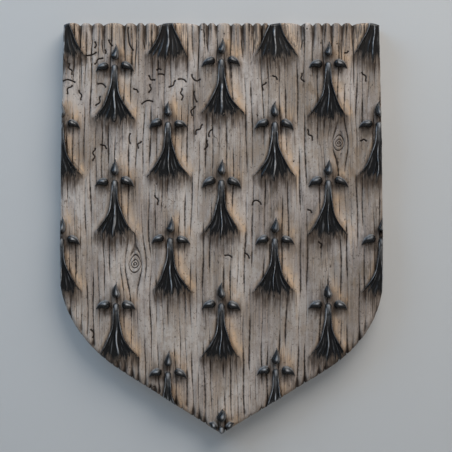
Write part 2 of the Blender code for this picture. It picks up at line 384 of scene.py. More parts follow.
@dataclass(frozen=True)
class Tail:
    """The flared, combed tail of a spot. Lengths are shares of the spot's length.

    Each pair of shares says how far down the tail a form begins and is complete.
    """

    start: float = 0.024
    length: float = 0.640
    sag: float = 0.078
    sag_limit: float = 1.2
    overrun: float = 1.04
    stem_half: float = 0.043
    flare: float = 0.210
    flare_change: Pair = (0.93, 1.07)
    flare_power: float = 2.7
    broad_stem: float = -0.1
    broad_flare: float = 0.06
    broad_power: float = -0.85
    bends: tuple[Ripple, Ripple] = (Ripple(0.06, math.tau), Ripple(0.025, 7.0))
    tears: tuple[Ripple, Ripple] = (Ripple(0.034, 11.0), Ripple(0.026, 23.0))
    stem_rise: float = 0.92
    crest: float = 0.90
    crest_fall: float = 0.50
    crest_power: float = 2.2
    bed: float = 0.44
    bed_fan_fall: float = 0.16
    bed_fall: float = 0.62
    bed_power: float = 1.5
    rim_inset: float = 0.012
    rim_half: float = 0.011
    hairs: float = 3.2
    hair_half: float = 0.012
    hair_least: float = 0.10
    hair_change: float = 0.42
    hair_start: Ripple = Ripple(0.12, 3.0)
    middle_half: float = 0.013
    middle_rise: float = 0.92
    wall_half: float = 0.009
    wall_power: float = 0.6
    opens: Pair = (0.05, 0.20)
    fans: Pair = (0.34, 0.72)
    hair_span: Pair = (0.45, 0.85)
    middle_span: Pair = (0.36, 0.55)
    torn: Pair = (0.90, 1.06)

    def shape(self, p: Array, q: Array, random: np.random.Generator,
              broad: float) -> tuple[Array, Array, Array, Array]:
        """Raises the tail.

        Args:
            p: Places across, from the cap.
            q: Places up, from the cap.
            random: Seeded source of this spot's own variation.
            broad: 1 for a tail with straighter, wider sides, otherwise 0.

        Returns:
            Height as a share of the relief, how far a place lies down the tail, how far across
            it, and the tail's half width there.
        """
        run = -q - self.start
        flare = self.flare * random.uniform(*self.flare_change) * (1.0 + self.broad_flare * broad)
        power = self.flare_power + self.broad_power * broad
        stem = self.stem_half * (1.0 + self.broad_stem * broad)
        half = stem + flare * np.clip(run / self.length, 0.0, self.overrun) ** power
        u = p / half
        turns = random.uniform(0.0, math.tau, 3)
        u = u + bowl(u) * (self.bends[0].at(u, turns[0]) + self.bends[1].at(u, turns[2]))
        ragged = self.tears[0].at(u, turns[0]) + self.tears[1].at(u, turns[1])
        share = run / (self.length * (1.0 + ragged) + self.sag * (1.0 - np.minimum(u * u, self.sag_limit)))
        side = np.abs(u)
        gap = (1.0 - side) * half
        down = unit(share)
        crest = self.crest - self.crest_fall * down ** self.crest_power
        bed = self.bed - self.bed_fan_fall * smooth(*self.fans, share)
        bed = bed * (1.0 - self.bed_fall * down ** self.bed_power)
        hair = self.hair(u, half, share, turns[1])
        middle = self.middle_rise * bump(u * half, 0.0, self.middle_half) * smooth(*self.middle_span, share)
        line = np.maximum(bump(gap, self.rim_inset, self.rim_half), np.maximum(hair, middle))
        opened = smooth(*self.opens, share)
        body = opened * (bed + (crest - bed) * line) + (1.0 - opened) * self.stem_rise * dome(side)
        height = body * unit(gap / self.wall_half) ** self.wall_power * fall(*self.torn, share)
        return np.where((side < 1.0) & (share > 0.0), height, 0.0), share, u, half

    def hair(self, u: Array, half: Array, share: Array, turn: float) -> Array:
        """The combed tresses between the tail's rims and its middle ridge.

        Args:
            u: Places across, in half widths.
            half: Half width of the tail.
            share: How far each place lies down the tail.
            turn: This spot's own variation.

        Returns:
            How far the tresses stand out at each place, from 0 to 1.
        """
        gap = np.abs((u * self.hairs + 0.5) % 1.0 - 0.5) / self.hairs * half
        number = np.round(u * self.hairs)
        tress = self.hair_least + self.hair_change * np.abs(np.sin(2.1 * number + turn))
        begins = self.hair_span[0] + self.hair_start.at(number)
        return tress * bump(gap, 0.0, self.hair_half) * smooth(begins, self.hair_span[1], share)


@dataclass(frozen=True)
class Blot:
    """A soft round patch near a spot's cap, in shares of the spot's length."""

    p: float
    q: float
    reach_p: float
    reach_q: float
    strength: float = 1.0

    def cover(self, p: Array, q: Array) -> Array:
        """How strongly the patch covers each place."""
        return self.strength * bump(p, self.p, self.reach_p) * bump(q, self.q, self.reach_q)


@dataclass
class ErmineSpots:
    """The raised ermine spots: a cap, three drops round it and a flared, combed tail.

    Row levels and the column step are shares of the outline's height and width, nudges are in
    millimetres, and all lengths within a spot are shares of the spot's length.
    """

    outline: Outline
    tail: Tail = Tail()
    row_levels: tuple[float, ...] = (0.5475, 0.4015, 0.2560, 0.1150, -0.0255, -0.1840, -0.3470, -0.4830)
    column_share: float = 0.165
    columns: range = range(-3, 4)
    length: float = 47.7 * MM
    relief: float = 3.4 * MM
    nudges: dict[tuple[int, int], Pair] = field(default_factory=lambda: {
        (0, -3): (1.5, 0.0), (0, 3): (-4.5, 0.0), (1, -2): (0.0, -1.8), (1, 0): (0.0, 1.8),
        (2, 3): (-1.8, 0.0), (4, -1): (1.4, 0.0), (5, -2): (0.9, 0.0), (6, -1): (0.0, -0.9),
        (6, 1): (0.6, 0.9)})
    seed: int = 100
    lean: float = 0.03
    wobble: Ripple = Ripple(0.008, 14.0)
    cap_radius: float = 0.043
    cap_rise: float = 0.92
    # Painted highlight on the top of the cap.
    cap_glint: Blot = Blot(0.002, -0.012, 0.020, 0.035, 0.80)
    top_drop: tuple[Pair, Pair] = ((0.0, 0.136), (0.014, 0.300))
    side_drop: tuple[Pair, Pair] = ((0.136, -0.002), (0.254, -0.080))
    tip_side_drop: tuple[Pair, Pair] = ((0.108, 0.018), (0.170, 0.056))
    tip_shorter: float = 0.055
    top_sag: float = 0.014
    side_sag: float = -0.018
    top_slim: float = 1.5
    tip_slim: float = 1.0
    side_slim: float = 1.25
    head_change: float = 0.012
    tip_change: Pair = (0.012, 0.018)
    plump_change: Pair = (0.92, 1.08)
    top_plump: float = 0.92
    # Painted highlights on each drop: a glint on its head and a lit rim along one edge.
    drop_glint: Blot = Blot(0.22, 0.02, 0.22, 0.26)
    edge_shine: float = 0.42
    # Painted shade under each drop: its own shape, moved down and grown.
    shade_drop: float = 0.044
    shade_slim: float = 0.75
    shade_plump: float = 2.3
    flank_swell: float = 0.6 * MM
    stains: tuple[Blot, ...] = (Blot(0.20, 0.07, 0.09, 0.10), Blot(0.085, 0.2, 0.06, 0.13),
                                Blot(0.22, -0.66, 0.10, 0.10, 0.9))
    # Painted shadow on the left of each tail, the side away from the light.
    lee_shadow: Blot = Blot(0.0, -0.34, 0.30, 0.58, 0.46)
    slow: Ripple = Ripple(0.22, 1.0)

    def places(self) -> list[tuple[int, int, float, float]]:
        """Row, column and cap of each spot that lies on the plaque.

        Returns:
            One entry a spot: row, column, x and z of its cap in metres.
        """
        found = []
        half = self.outline.height / 2
        for row, level in enumerate(self.row_levels):
            for column in self.columns:
                x = column * self.column_share * self.outline.width
                z = level * self.outline.height
                low = -half + math.tan(self.outline.slope_right) * abs(x) - self.outline.edge_round
                if (row + column) % 2 == 0 or z <= low:
                    continue
                dx, dz = self.nudges.get((row, column), (0.0, 0.0))
                found.append((row, column, x + dx * MM, z + dz * MM))
        return found

    def carve(self, face: Field) -> None:
        """Raises every spot on the face and lays its paints, its painted shade and its painted highlights.

        Args:
            face: The field that takes them.
        """
        for row, column, x, z in self.places():
            random = np.random.default_rng(self.seed + 10 * row + column)
            near = face.near(x, z - 0.32 * self.length, 0.46 * self.length, 0.78 * self.length)
            if len(near):
                self.carve_one(face, near, row, column, x, z, random)

    def drops(self, row: int, column: int, random: np.random.Generator) -> list[Drop]:
        """Sets out a spot's three drops.

        Args:
            row: The spot's row, from the top.
            column: The spot's column, from the middle.
            random: Seeded source of this spot's own variation.

        Returns:
            The upper drop, the left one and the right one.
        """
        last = row == len(self.row_levels) - 1
        top_tip = (self.top_drop[1][0], self.top_drop[1][1] - self.tip_shorter * last)
        found = [Drop(self.top_drop[0], top_tip, self.top_sag * math.sin(3.0 * column + row),
                      self.tip_slim if last else self.top_slim, -1.0)]
        for side in (-1, 1):
            (head_p, head_q), (tip_p, tip_q) = self.side_drop
            head = (side * head_p, head_q + random.uniform(-self.head_change, self.head_change))
            tip = (side * (tip_p + random.uniform(-self.tip_change[0], self.tip_change[0])),
                   tip_q + random.uniform(-self.tip_change[1], self.tip_change[1]))
            if last:
                head, tip = ((side * p, q) for p, q in self.tip_side_drop)
            found.append(Drop(head, tip, side * self.side_sag, self.side_slim, side))
        usual = (1.0 if last else self.top_plump, 1.0, 1.0)
        return [replace(drop, plump=random.uniform(*self.plump_change) * girth)
                for drop, girth in zip(found, usual)]

    def carve_one(self, face: Field, near: Array, row: int, column: int, x: float, z: float,
                  random: np.random.Generator) -> None:
        """Raises one spot, with its paints, painted shade and painted highlights.

        Args:
            face: The field that takes it.
            near: Numbers of the places round it.
            row: The spot's row, from the top.
            column: The spot's column, from the middle.
            x: Place of its cap across the face.
            z: Place of its cap up the face.
            random: Seeded source of this spot's own variation.
        """
        p = (face.x[near] - x) / self.length
        q = (face.z[near] - z) / self.length
        lean = self.lean * math.sin(2.3 * row + 1.9 * column)
        wobble = self.wobble.size * np.sin(self.wobble.rate * q + 2.0 * row + column)
        leaned = p - lean * np.minimum(q, 0.0) ** 2 + wobble * smooth(0.1, 0.4, -q)
        tail, share, u, half = self.tail.shape(leaned, q, random, float(row == 0))
        raised = q + self.tail.start
        cap = self.cap_rise * np.sqrt(unit(1.0 - (p * p + raised * raised) / self.cap_radius ** 2))
        best = np.maximum(tail, cap)
        # A painted highlight on the top of the cap.
        shine = self.cap_glint.cover(p, raised)
        # Painted shade round the top of the cap, below the upper drop.
        shade = 0.9 * bump(np.hypot(p / 0.085, (q - 0.055) / 0.065), 0.0, 1.0)
        for drop in self.drops(row, column, random):
            height, place, across = drop.shape(p, q)
            # Painted highlights: a lit rim along one edge of each drop and a glint on its head, brighter on
            # the lower rows.
            edge = smooth(0.40, 0.85, drop.lit * across) * smooth(0.0, 0.12, height) * fall(0.85, 1.0, place)
            glint = self.drop_glint.cover(drop.lit * across, place) * (0.75 + 0.25 * smooth(3.0, 5.5, row))
            shine = np.where(height > 0, np.maximum(self.edge_shine * edge, glint), shine)
            best = np.maximum(best, height)
            # Painted shade under each drop, a soft copy of it moved down like a cast shadow.
            under = replace(drop, slim=self.shade_slim, plump=self.shade_plump * drop.plump)
            shade = np.maximum(shade, 1.25 * under.shape(p, q + self.shade_drop)[0] ** 1.2)
        face.spot[near] = np.maximum(face.spot[near], best * self.relief)
        face.paint(Paint.INK, (0.97 if row == 0 else 1.0) * smooth(0.02, 0.14, best), near)
        face.paint(Paint.SILVER_AND_GLINT, unit(shine) * smooth(0.05, 0.2, best), near)
        edge_gap = np.abs(leaned) - half
        self.stain_and_shade(face, near, p, q, share, leaned, half, shade, random)
        if row == 0:
            face.paint(Paint.STREAK, bump(edge_gap, 0.05, 0.13) * fall(0.8, 1.1, share), near)
            face.masks[Paint.OCHRE][near] *= 0.55
        closer = np.abs(p) * self.length < face.axis[near]
        mine = near[closer]
        face.axis[mine] = np.abs(p[closer]) * self.length
        places = {Trace.ACROSS: u, Trace.ALONG: np.clip(share, -1.0, 1.8), Trace.GIRTH: half}
        for trace, amount in places.items():
            face.traces[trace][mine] = amount[closer]
        flank = bump(edge_gap, 0.04, 0.035) * smooth(0.05, 0.3, share) * fall(0.7, 1.0, share)
        face.height[near] += self.flank_swell * flank * (best < 0.02)

    def stain_and_shade(self, face: Field, near: Array, p: Array, q: Array, share: Array, leaned: Array,
              half: Array, shade: Array, random: np.random.Generator) -> None:
        """Lays the ochre and brown washes that pool round one spot, with painted shade under its drops, along
        its tail's edges and to the left of its tail.

        Args:
            face: The field that takes them.
            near: Numbers of the places round the spot.
            p: Places across, from the cap, as shares of the spot's length.
            q: Places up, from the cap.
            share: How far each place lies down the tail.
            leaned: Places across from the tail's own middle line.
            half: The tail's half width.
            shade: Painted shade round the cap and under the drops.
            random: Seeded source of this spot's own variation.
        """
        strength = random.uniform(0.75, 1.0)
        beyond = leaned - half
        down = smooth(0.05, 0.36, share) * fall(0.92, 1.08, share)
        uneven = 1.0 - self.slow.size + self.slow.at(9.0 * q + 7.0 * p + 6.0 * strength)
        right = uneven * fall(0.05, 0.22, beyond) * fall(0.22, 0.40, p) * (beyond > -0.01) * down
        left = 0.25 * bump(-leaned - half, 0.03, 0.04) * down
        pooled = sum((blot.cover(p, q) for blot in self.stains), right + left)
        face.paint(Paint.OCHRE, strength * unit(pooled), near)
        edge_gap = np.abs(leaned) - half
        # A dark line along the tail's edges: brown wash in the crease with painted shade, heavier on the
        # left, away from the light.
        hem = (0.60 + 0.30 * (p < 0)) * bump(edge_gap, 0.003, 0.013)
        hem = hem * smooth(0.0, 0.1, share) * fall(0.9, 1.0, share)
        drift = 0.95 * bump(share, 1.07, 0.15) * fall(-0.01, 0.04, edge_gap)
        face.paint(Paint.WASH_AND_SHADE, unit(drift + shade + hem), near)
        # Painted shadow on the left of the tail, away from the light, added to the dirt.
        lee = 0.30 + 0.70 * smooth(0.12, -0.06, p)
        face.masks[Paint.SOIL_AND_SHADE][near] = unit(face.masks[Paint.SOIL_AND_SHADE][near] + lee * self.lee_shadow.cover(p, q))


@dataclass(frozen=True)
class Knot:
    """A knot that the grain flows round. Its place is in millimetres."""

    x: float
    z: float
    size: float
    dark: float
    reach: float = 6.0 * MM
    stretch: float = 1.7

    def place(self, x: Array, z: Array) -> tuple[Array, Array]:
        """Places against the knot, in its own widths and heights."""
        reach = self.reach * self.size
        return (x - self.x * MM) / reach, (z - self.z * MM) / (self.stretch * reach)


@dataclass
class CrackLanes:
    """Long cracks along the grain, one to a lane, in lanes that bend round the knots.

    The two runs are in millimetres: the usual one, and how much it grows from lane to lane.
    """

    outline: Outline
    knots: tuple[Knot, ...] = (Knot(-53.5, -22.0, 1.0, 0.95), Knot(72.7, 52.9, 0.9, 0.75),
                               Knot(-41.8, -100.6, 0.45, 0.7))
    pitch: float = 3.9 * MM
    half: float = 0.42 * MM
    depth: float = 0.95 * MM
    drift: float = 1.1 * MM
    drift_up: float = 34.0 * MM
    drift_across: float = 27.0 * MM
    sway: float = 0.07
    sway_up: float = 6.5 * MM
    offset: Ripple = Ripple(0.22, 12.9898)
    usual_open: float = 0.62
    foot_open: float = 0.06
    slow_open: float = 0.42
    fast_open: float = 0.26
    slow_run: Pair = (7.0, 5.0)
    fast_run: Pair = (2.9, 1.8)

    def shift(self, x: Array, z: Array) -> Array:
        """How far the grain bends aside to pass round the knots.

        Args:
            x: Places across the face, in metres.
            z: Places up the face, in metres.

        Returns:
            The bend at each place, in metres.
        """
        moved = np.zeros_like(x)
        for knot in self.knots:
            dx, dz = knot.place(x, z)
            moved += np.tanh(3.0 * dx) * 0.75 * knot.reach * knot.size * mound(dx / 1.5, dz / 1.1)
        return moved

    def centre(self, lane: Array, z: Array) -> Array:
        """Where each lane's crack runs, in lanes."""
        sway = self.sway * np.sin(z / self.sway_up + 2.7 * lane)
        return lane + 0.5 + self.offset.at(lane) + sway

    def trace(self, x: Array, z: Array) -> tuple[Array, Array, Array]:
        """Follows the cracks.

        Args:
            x: Places across the face, in metres.
            z: Places up the face, in metres.

        Returns:
            A coordinate that is whole on each crack's middle line, how open the nearest crack
            is, and the distance to it in metres.
        """
        sway = self.drift * np.sin(z / self.drift_up + x / self.drift_across)
        place = (x - self.shift(x, z) - sway) / self.pitch
        low = np.floor(place)
        low = np.where(place < self.centre(low, z), low - 1.0, low)
        start, end = self.centre(low, z), self.centre(low + 1.0, z)
        lane = low + (place - start) / (end - start)
        nearest = np.round(lane)
        strength = unit(0.30 + 0.85 * np.abs(np.sin(7.31 * nearest + 1.3)))
        slow_run = (self.slow_run[0] + self.slow_run[1] * np.abs(np.sin(3.7 * nearest))) * MM
        fast_run = (self.fast_run[0] + self.fast_run[1] * np.abs(np.sin(2.3 * nearest))) * MM
        slow = self.slow_open * np.sin(z / slow_run + 5.1 * nearest)
        fast = self.fast_open * np.sin(z / fast_run + 9.7 * nearest)
        foot = self.foot_open * smooth(0.02, -0.10, z)
        opened = strength * unit(self.usual_open + foot + slow + fast)
        for knot in self.knots:
            dx, dz = knot.place(x, z)
            opened = unit(opened + 0.5 * knot.size * mound(dx / 1.4, dz / 1.3))
        return lane, opened, np.abs(place - self.centre(nearest, z)) * self.pitch

    def groove(self, gap: Array, opened: Array) -> Array:
        """Cross-section of the cracks, 1 in the middle of an open one."""
        return opened * bowl(gap / (self.half * (0.45 + 0.55 * opened)))



@dataclass(frozen=True)
class Cut:
    """A kind of narrow groove: half its width, its depth, and how much dark paint stays in it."""

    half: float
    depth: float
    dark: float = 1.0
    least_line: float = 0.12
    farthest: float = 4.0
    halo: float = 2.4

    def into(self, face: Field, near: Array, offset: Array, reach: Array | float = 1.0) -> None:
        """Cuts the groove into some places of the face and darkens it.

        Args:
            face: The field that takes it.
            near: Numbers of the places round it.
            offset: Distance of each place from the groove's middle line.
            reach: How open it is at each place, from 0 to 1.
        """
        face.height[near] -= self.depth * (bowl(offset / self.half) * reach)
        line = self.half * np.maximum(self.dark * reach, self.least_line)
        track = np.clip(offset / line, 0.0, self.farthest)
        face.traces[Trace.TRACK][near] = np.minimum(face.traces[Trace.TRACK][near], track)
        face.paint(Paint.WASH_AND_SHADE, 0.4 * self.dark * bump(offset, 0.0, self.half * self.halo) * reach, near)


@dataclass
class WeatheredWood:
    """The carved ground: gouged top, cracks, knots, worm tracks and small holes.

    A worm track is given by its start in millimetres, its heading in degrees, its length in
    millimetres and its turn in degrees. A ring of a knot is given by its radius in the knot's own
    reach and its darkness.
    """

    outline: Outline
    lanes: CrackLanes
    swell: Waves = Waves(7, 18, (9 * MM, 40 * MM), (90 * MM, 400 * MM))
    comb: Waves = Waves(8, 22, (1.7 * MM, 4.0 * MM), (30 * MM, 120 * MM))
    patches: Waves = Waves(9, 16, (30 * MM, 90 * MM), (40 * MM, 110 * MM))
    swell_height: float = 0.16 * MM
    comb_height: float = 0.11 * MM
    top_band: Pair = (8 * MM, 30 * MM)
    foot_band: float = 40 * MM
    hem_band: Pair = (1 * MM, 9 * MM)
    soiled_side: float = 95 * MM
    gouge_length: float = 21.0 * MM
    gouge_width: float = 1.7 * MM
    gouge_depth: float = 2.4 * MM
    gouge_line: Cut = Cut(0.42 * MM, 0.8 * MM, 0.8)
    gouge_line_length: Pair = (20.0, 13.0)
    gouge_line_sway: float = 0.7 * MM
    crown: float = 1.3 * MM
    mouth_reach: float = 10.0 * MM
    mouth_half: float = 1.6 * MM
    mouth_depth: float = 1.6 * MM
    ring: Cut = Cut(0.36 * MM, 0.45 * MM)
    rings: tuple[Pair, ...] = ((0.11, 0.8), (0.30, 0.8), (0.58, 0.9))
    knot_end: float = 0.78
    worm: Cut = Cut(0.50 * MM, 0.9 * MM)
    worm_steps: int = 14
    worm_swing: float = 42.0
    curled_turn: float = 40.0
    curled_swing: float = 8.0
    long_worm: float = 7.4
    pit_share: float = 0.74
    worm_tracks: tuple[tuple[float, float, float, float, float], ...] = (
        (-78.2, 115.2, 300, 3.6, -70), (-69.7, 116.4, 272, 4.0, 62), (-72.0, 110.4, 272, 2.2, 10),
        (-84.1, 107.1, 345, 6.8, 65), (-78.3, 101.8, 28, 6.5, 20), (-94.4, 101.8, 290, 7.5, 10),
        (-98, 91.3, 20, 7.5, -60), (-92.5, 88.2, 235, 6.5, 10), (-88.2, 85.1, 270, 6.0, 25),
        (-76.4, 89.4, 10, 5.5, -70), (-75.2, 81.4, 240, 6.5, 10), (-57.8, 124.1, 262, 14.5, 41),
        (-54.2, 86.3, 315, 3.5, 15), (-44.9, 94.4, 318, 5.0, 12), (-44.3, 88.8, 258, 5.2, 10),
        (-49.2, 77.1, 40, 7.2, -60), (-39.9, 98.1, 5, 2.6, 0), (-35.6, 95.0, 145, 3.4, 60),
        (-28.8, 91.3, 220, 5.8, 15), (-26.6, 92.3, 10, 5.2, -60), (-18.3, 95, 265, 7.5, 140),
        (-24.5, 86.3, 275, 7.6, 8), (-17.0, 84.5, 260, 6.5, 55), (-16.4, 75.2, 248, 6.7, 8),
        (-56.6, 58.5, 240, 6.0, 65), (-49.8, 53.6, 240, 5.0, 12), (-74.6, 51.7, 320, 4.4, 12),
        (-78.2, 49.4, 262, 8.4, 12), (-12.0, 64.1, 218, 8.0, 20), (-5.9, 61, 195, 5.0, 110),
        (-9.0, 54.2, 250, 6.0, 12), (27.5, 90.1, 243, 5.6, 8), (31.9, 94.4, 315, 3.6, 10),
        (49.8, 95.6, 282, 5.7, 8), (87, 96.3, 290, 6.2, 10), (53.5, 61, 298, 7.8, 10),
        (86.3, 54.2, 0, 3.8, 0), (76.4, 108.6, 25, 2.4, 0), (-41.2, 20.1, 278, 6.2, 20),
        (19.2, 14.6, 85, 8.0, -175), (53.5, 11.5, 322, 3.2, 0), (2.3, -16.8, 10, 4.4, -55),
        (14.6, -15.4, 330, 4.0, -41), (-80.8, -62.8, 320, 5.5, -80), (-66.5, -1.0, 250, 4.0, 30),
        (38.0, -30.0, 285, 5.0, 20), (60.2, -8.5, 300, 4.5, -20))
    hole: Cut = Cut(0.55 * MM, 0.8 * MM, 0.9)
    holes: tuple[Pair, ...] = (
        (1.7, 120.4), (18.9, 121.0), (52.9, 123.5), (61.6, 114.8), (71.5, 114.2), (-40.2, 27.4),
        (-12.4, 122.9), (22.3, 69.8), (-30.3, 3.1), (44.6, 41.5))

    def carve_cracks(self, face: Field) -> None:
        """Cuts the long cracks, opens their mouths at the foot, and runs the gouges on.

        Args:
            face: The field that takes them.
        """
        lane, opened, gap = self.lanes.trace(face.x, face.z)
        face.traces[Trace.LANE], face.traces[Trace.OPEN] = lane, opened
        face.height -= self.lanes.depth * self.lanes.groove(gap, opened)
        rise = face.z - self.outline.bottom(face.x)
        mouth = smooth(0.25, 0.6, opened) * fall(0.0, self.mouth_reach, rise)
        mouth *= bump(gap, 0.0, self.mouth_half * (0.35 + 0.65 * mouth))
        face.height -= self.mouth_depth * mouth
        face.paint(Paint.CRACK, smooth(0.25, 0.8, mouth))
        face.paint(Paint.WASH_AND_SHADE, 0.9 * smooth(0.0, 0.5, mouth))
        half, start = self.outline.width / 2, self.outline.height / 2 - 0.5 * self.gouge_length
        for i, share in enumerate(self.outline.notches):
            length = (self.gouge_line_length[0] + self.gouge_line_length[1] * math.cos(1.9 * i)) * MM
            near = face.near(share * half, start - length / 2, 3.0 * MM, length / 2)
            down = (start - face.z[near]) / length
            path = share * half + self.gouge_line_sway * np.sin(2.2 * i + 2.5 * down)
            reach = np.sin(math.pi * unit(0.2 + 0.8 * down)) ** 0.6
            self.gouge_line.into(face, near, np.abs(face.x[near] - path), reach)

    def carve_knots(self, face: Field) -> None:
        """Cuts the rings of each knot and keeps the cracks out of it.

        Args:
            face: The field that takes them.
        """
        for knot in self.lanes.knots:
            reach = knot.reach * knot.size
            near = face.near(knot.x * MM, knot.z * MM, 1.5 * reach, 2.4 * reach)
            dx, dz = knot.place(face.x[near], face.z[near])
            turn = np.arctan2(dz, dx)
            ring = (np.abs(dx) ** 1.9 + np.abs(dz) ** 1.3) ** (1.0 / 1.5)
            ring = ring * (1.0 + 0.06 * np.sin(2.0 * turn + knot.x) + 0.03 * np.sin(3.0 * turn))
            for radius, dark in self.rings:
                opened = 0.85 + 0.15 * np.sin(2.0 * turn + 9.0 * radius)
                painted = replace(self.ring, dark=knot.dark * dark)
                painted.into(face, near, np.abs(ring - radius) * reach, opened)
            face.traces[Trace.OPEN][near[ring < self.knot_end]] = 0.0

    def worm_path(self, number: int, heading: float, length: float, turn: float) -> tuple[Array, Array]:
        """Winds one worm track.

        Args:
            number: The track's number, which sets the side it first swings to.
            heading: Its first direction, in degrees.
            length: Its length, in millimetres.
            turn: How far it turns on its way, in degrees.

        Returns:
            Places across and up of its points, in metres from its start.
        """
        share = np.linspace(0.0, 1.0, self.worm_steps)
        swing = self.worm_swing * (-1) ** number if abs(turn) < self.curled_turn else self.curled_swing
        waves = 1.5 if length > self.long_worm else 1.0
        angle = np.radians(heading + turn * share + swing * np.sin(math.tau * waves * share))
        step = length * MM / (self.worm_steps - 1)
        across, up = (np.concatenate(((0.0,), np.cumsum(way(angle[:-1])) * step)) for way in (np.cos, np.sin))
        return across, up

    def carve_worms(self, face: Field) -> None:
        """Cuts each worm track, with a round pit at both ends, and the small holes.

        Args:
            face: The field that takes them.
        """
        for number, (x, z, heading, length, turn) in enumerate(self.worm_tracks):
            across, up = self.worm_path(number, heading, length, turn)
            px, pz = x * MM + across, z * MM + up
            step = length * MM / (self.worm_steps - 1)
            near = face.near(float(px.mean()), float(pz.mean()), 10 * MM, 12 * MM)
            gap = np.full(len(near), 1.0)
            for ax, az, bx, bz in zip(px[:-1], pz[:-1], px[1:], pz[1:]):
                along = unit(((face.x[near] - ax) * (bx - ax) + (face.z[near] - az) * (bz - az)) / step ** 2)
                gap = np.minimum(gap, np.hypot(ax + (bx - ax) * along - face.x[near],
                                               az + (bz - az) * along - face.z[near]))
            for end in (0, -1):
                pit = np.hypot(face.x[near] - px[end], face.z[near] - pz[end])
                gap = np.minimum(gap, self.pit_share * pit)
            self.worm.into(face, near, gap)
        for x, z in self.holes:
            near = face.near(x * MM, z * MM, 2 * MM, 2 * MM)
            self.hole.into(face, near, np.hypot(face.x[near] - x * MM, face.z[near] - z * MM))

    def carve_top(self, face: Field) -> None:
        """Cuts the gouges down from each notch and rounds the lobes between them.

        Args:
            face: The field that takes them.
        """
        half, top = self.outline.width / 2, self.outline.height / 2
        down = (top - face.z) / self.gouge_length
        lobes = (self.outline.notch_drop(face.x) / self.outline.notch_depth) ** 0.8
        face.height -= self.crown * lobes * fall(0.0, 1.25, down)
        # Darker towards each notch: brown wash with painted shade down the rounded sides of the lobes.
        face.paint(Paint.WASH_AND_SHADE, 0.56 * lobes ** 1.5 * fall(0.1, 1.5, down))
        for i, share in enumerate(self.outline.notches):
            length = self.gouge_length * (0.75 + 0.25 * math.cos(2.4 * i))
            width = self.gouge_width * (0.85 + 0.15 * math.sin(1.7 * i))
            near = face.near(share * half, top - length / 2, 2 * width, 0.6 * length)
            drop = (top - face.z[near]) / length
            taper = np.clip(1.0 - 0.85 * unit(drop), 0.1, 1.0)
            across = (face.x[near] - share * half) / (width * taper)
            hollow = bowl(across) * unit(8.0 - 8.0 * drop)
            face.height[near] -= self.gouge_depth * taper ** 1.5 * hollow
            face.paint(Paint.CRACK, 0.80 * smooth(0.1, 0.8, hollow) * taper ** 0.5, near)
            face.paint(Paint.WASH_AND_SHADE, 0.92 * bump(across, 0.0, 1.45) * unit(taper * 1.2), near)

    def weather(self, face: Field) -> None:
        """Lays the long swell of the wood, its streaky top and the broad dirt.

        Args:
            face: The field that takes them.
        """
        shifted = face.x - self.lanes.shift(face.x, face.z)
        top = fall(*self.top_band, self.outline.height / 2 - face.z)
        rise = face.z - self.outline.bottom(face.x)
        foot = fall(0.0, self.foot_band, rise)
        patch = self.patches.height(face.x, face.z)
        streak = unit(top * (0.26 + 0.3 * patch) + 0.30 * foot + 0.22 * unit(patch))
        right = smooth(0.0, self.soiled_side, face.x)
        face.masks[Paint.WASH_AND_SHADE] = 0.5 * fall(*self.hem_band, rise)
        face.masks[Paint.STREAK] = streak
        face.masks[Paint.SOIL_AND_SHADE] = unit(0.05 + 0.52 * right + 0.32 * patch + 0.05 * top)
        face.height += self.swell_height * self.swell.height(shifted, face.z)
        face.height += self.comb_height * streak * self.comb.height(shifted, face.z)

    def carve(self, face: Field) -> None:
        """Carves the whole ground.

        Args:
            face: The field that takes it.
        """
        for work in (self.weather, self.carve_top, self.carve_cracks, self.carve_knots, self.carve_worms):
            work(face)


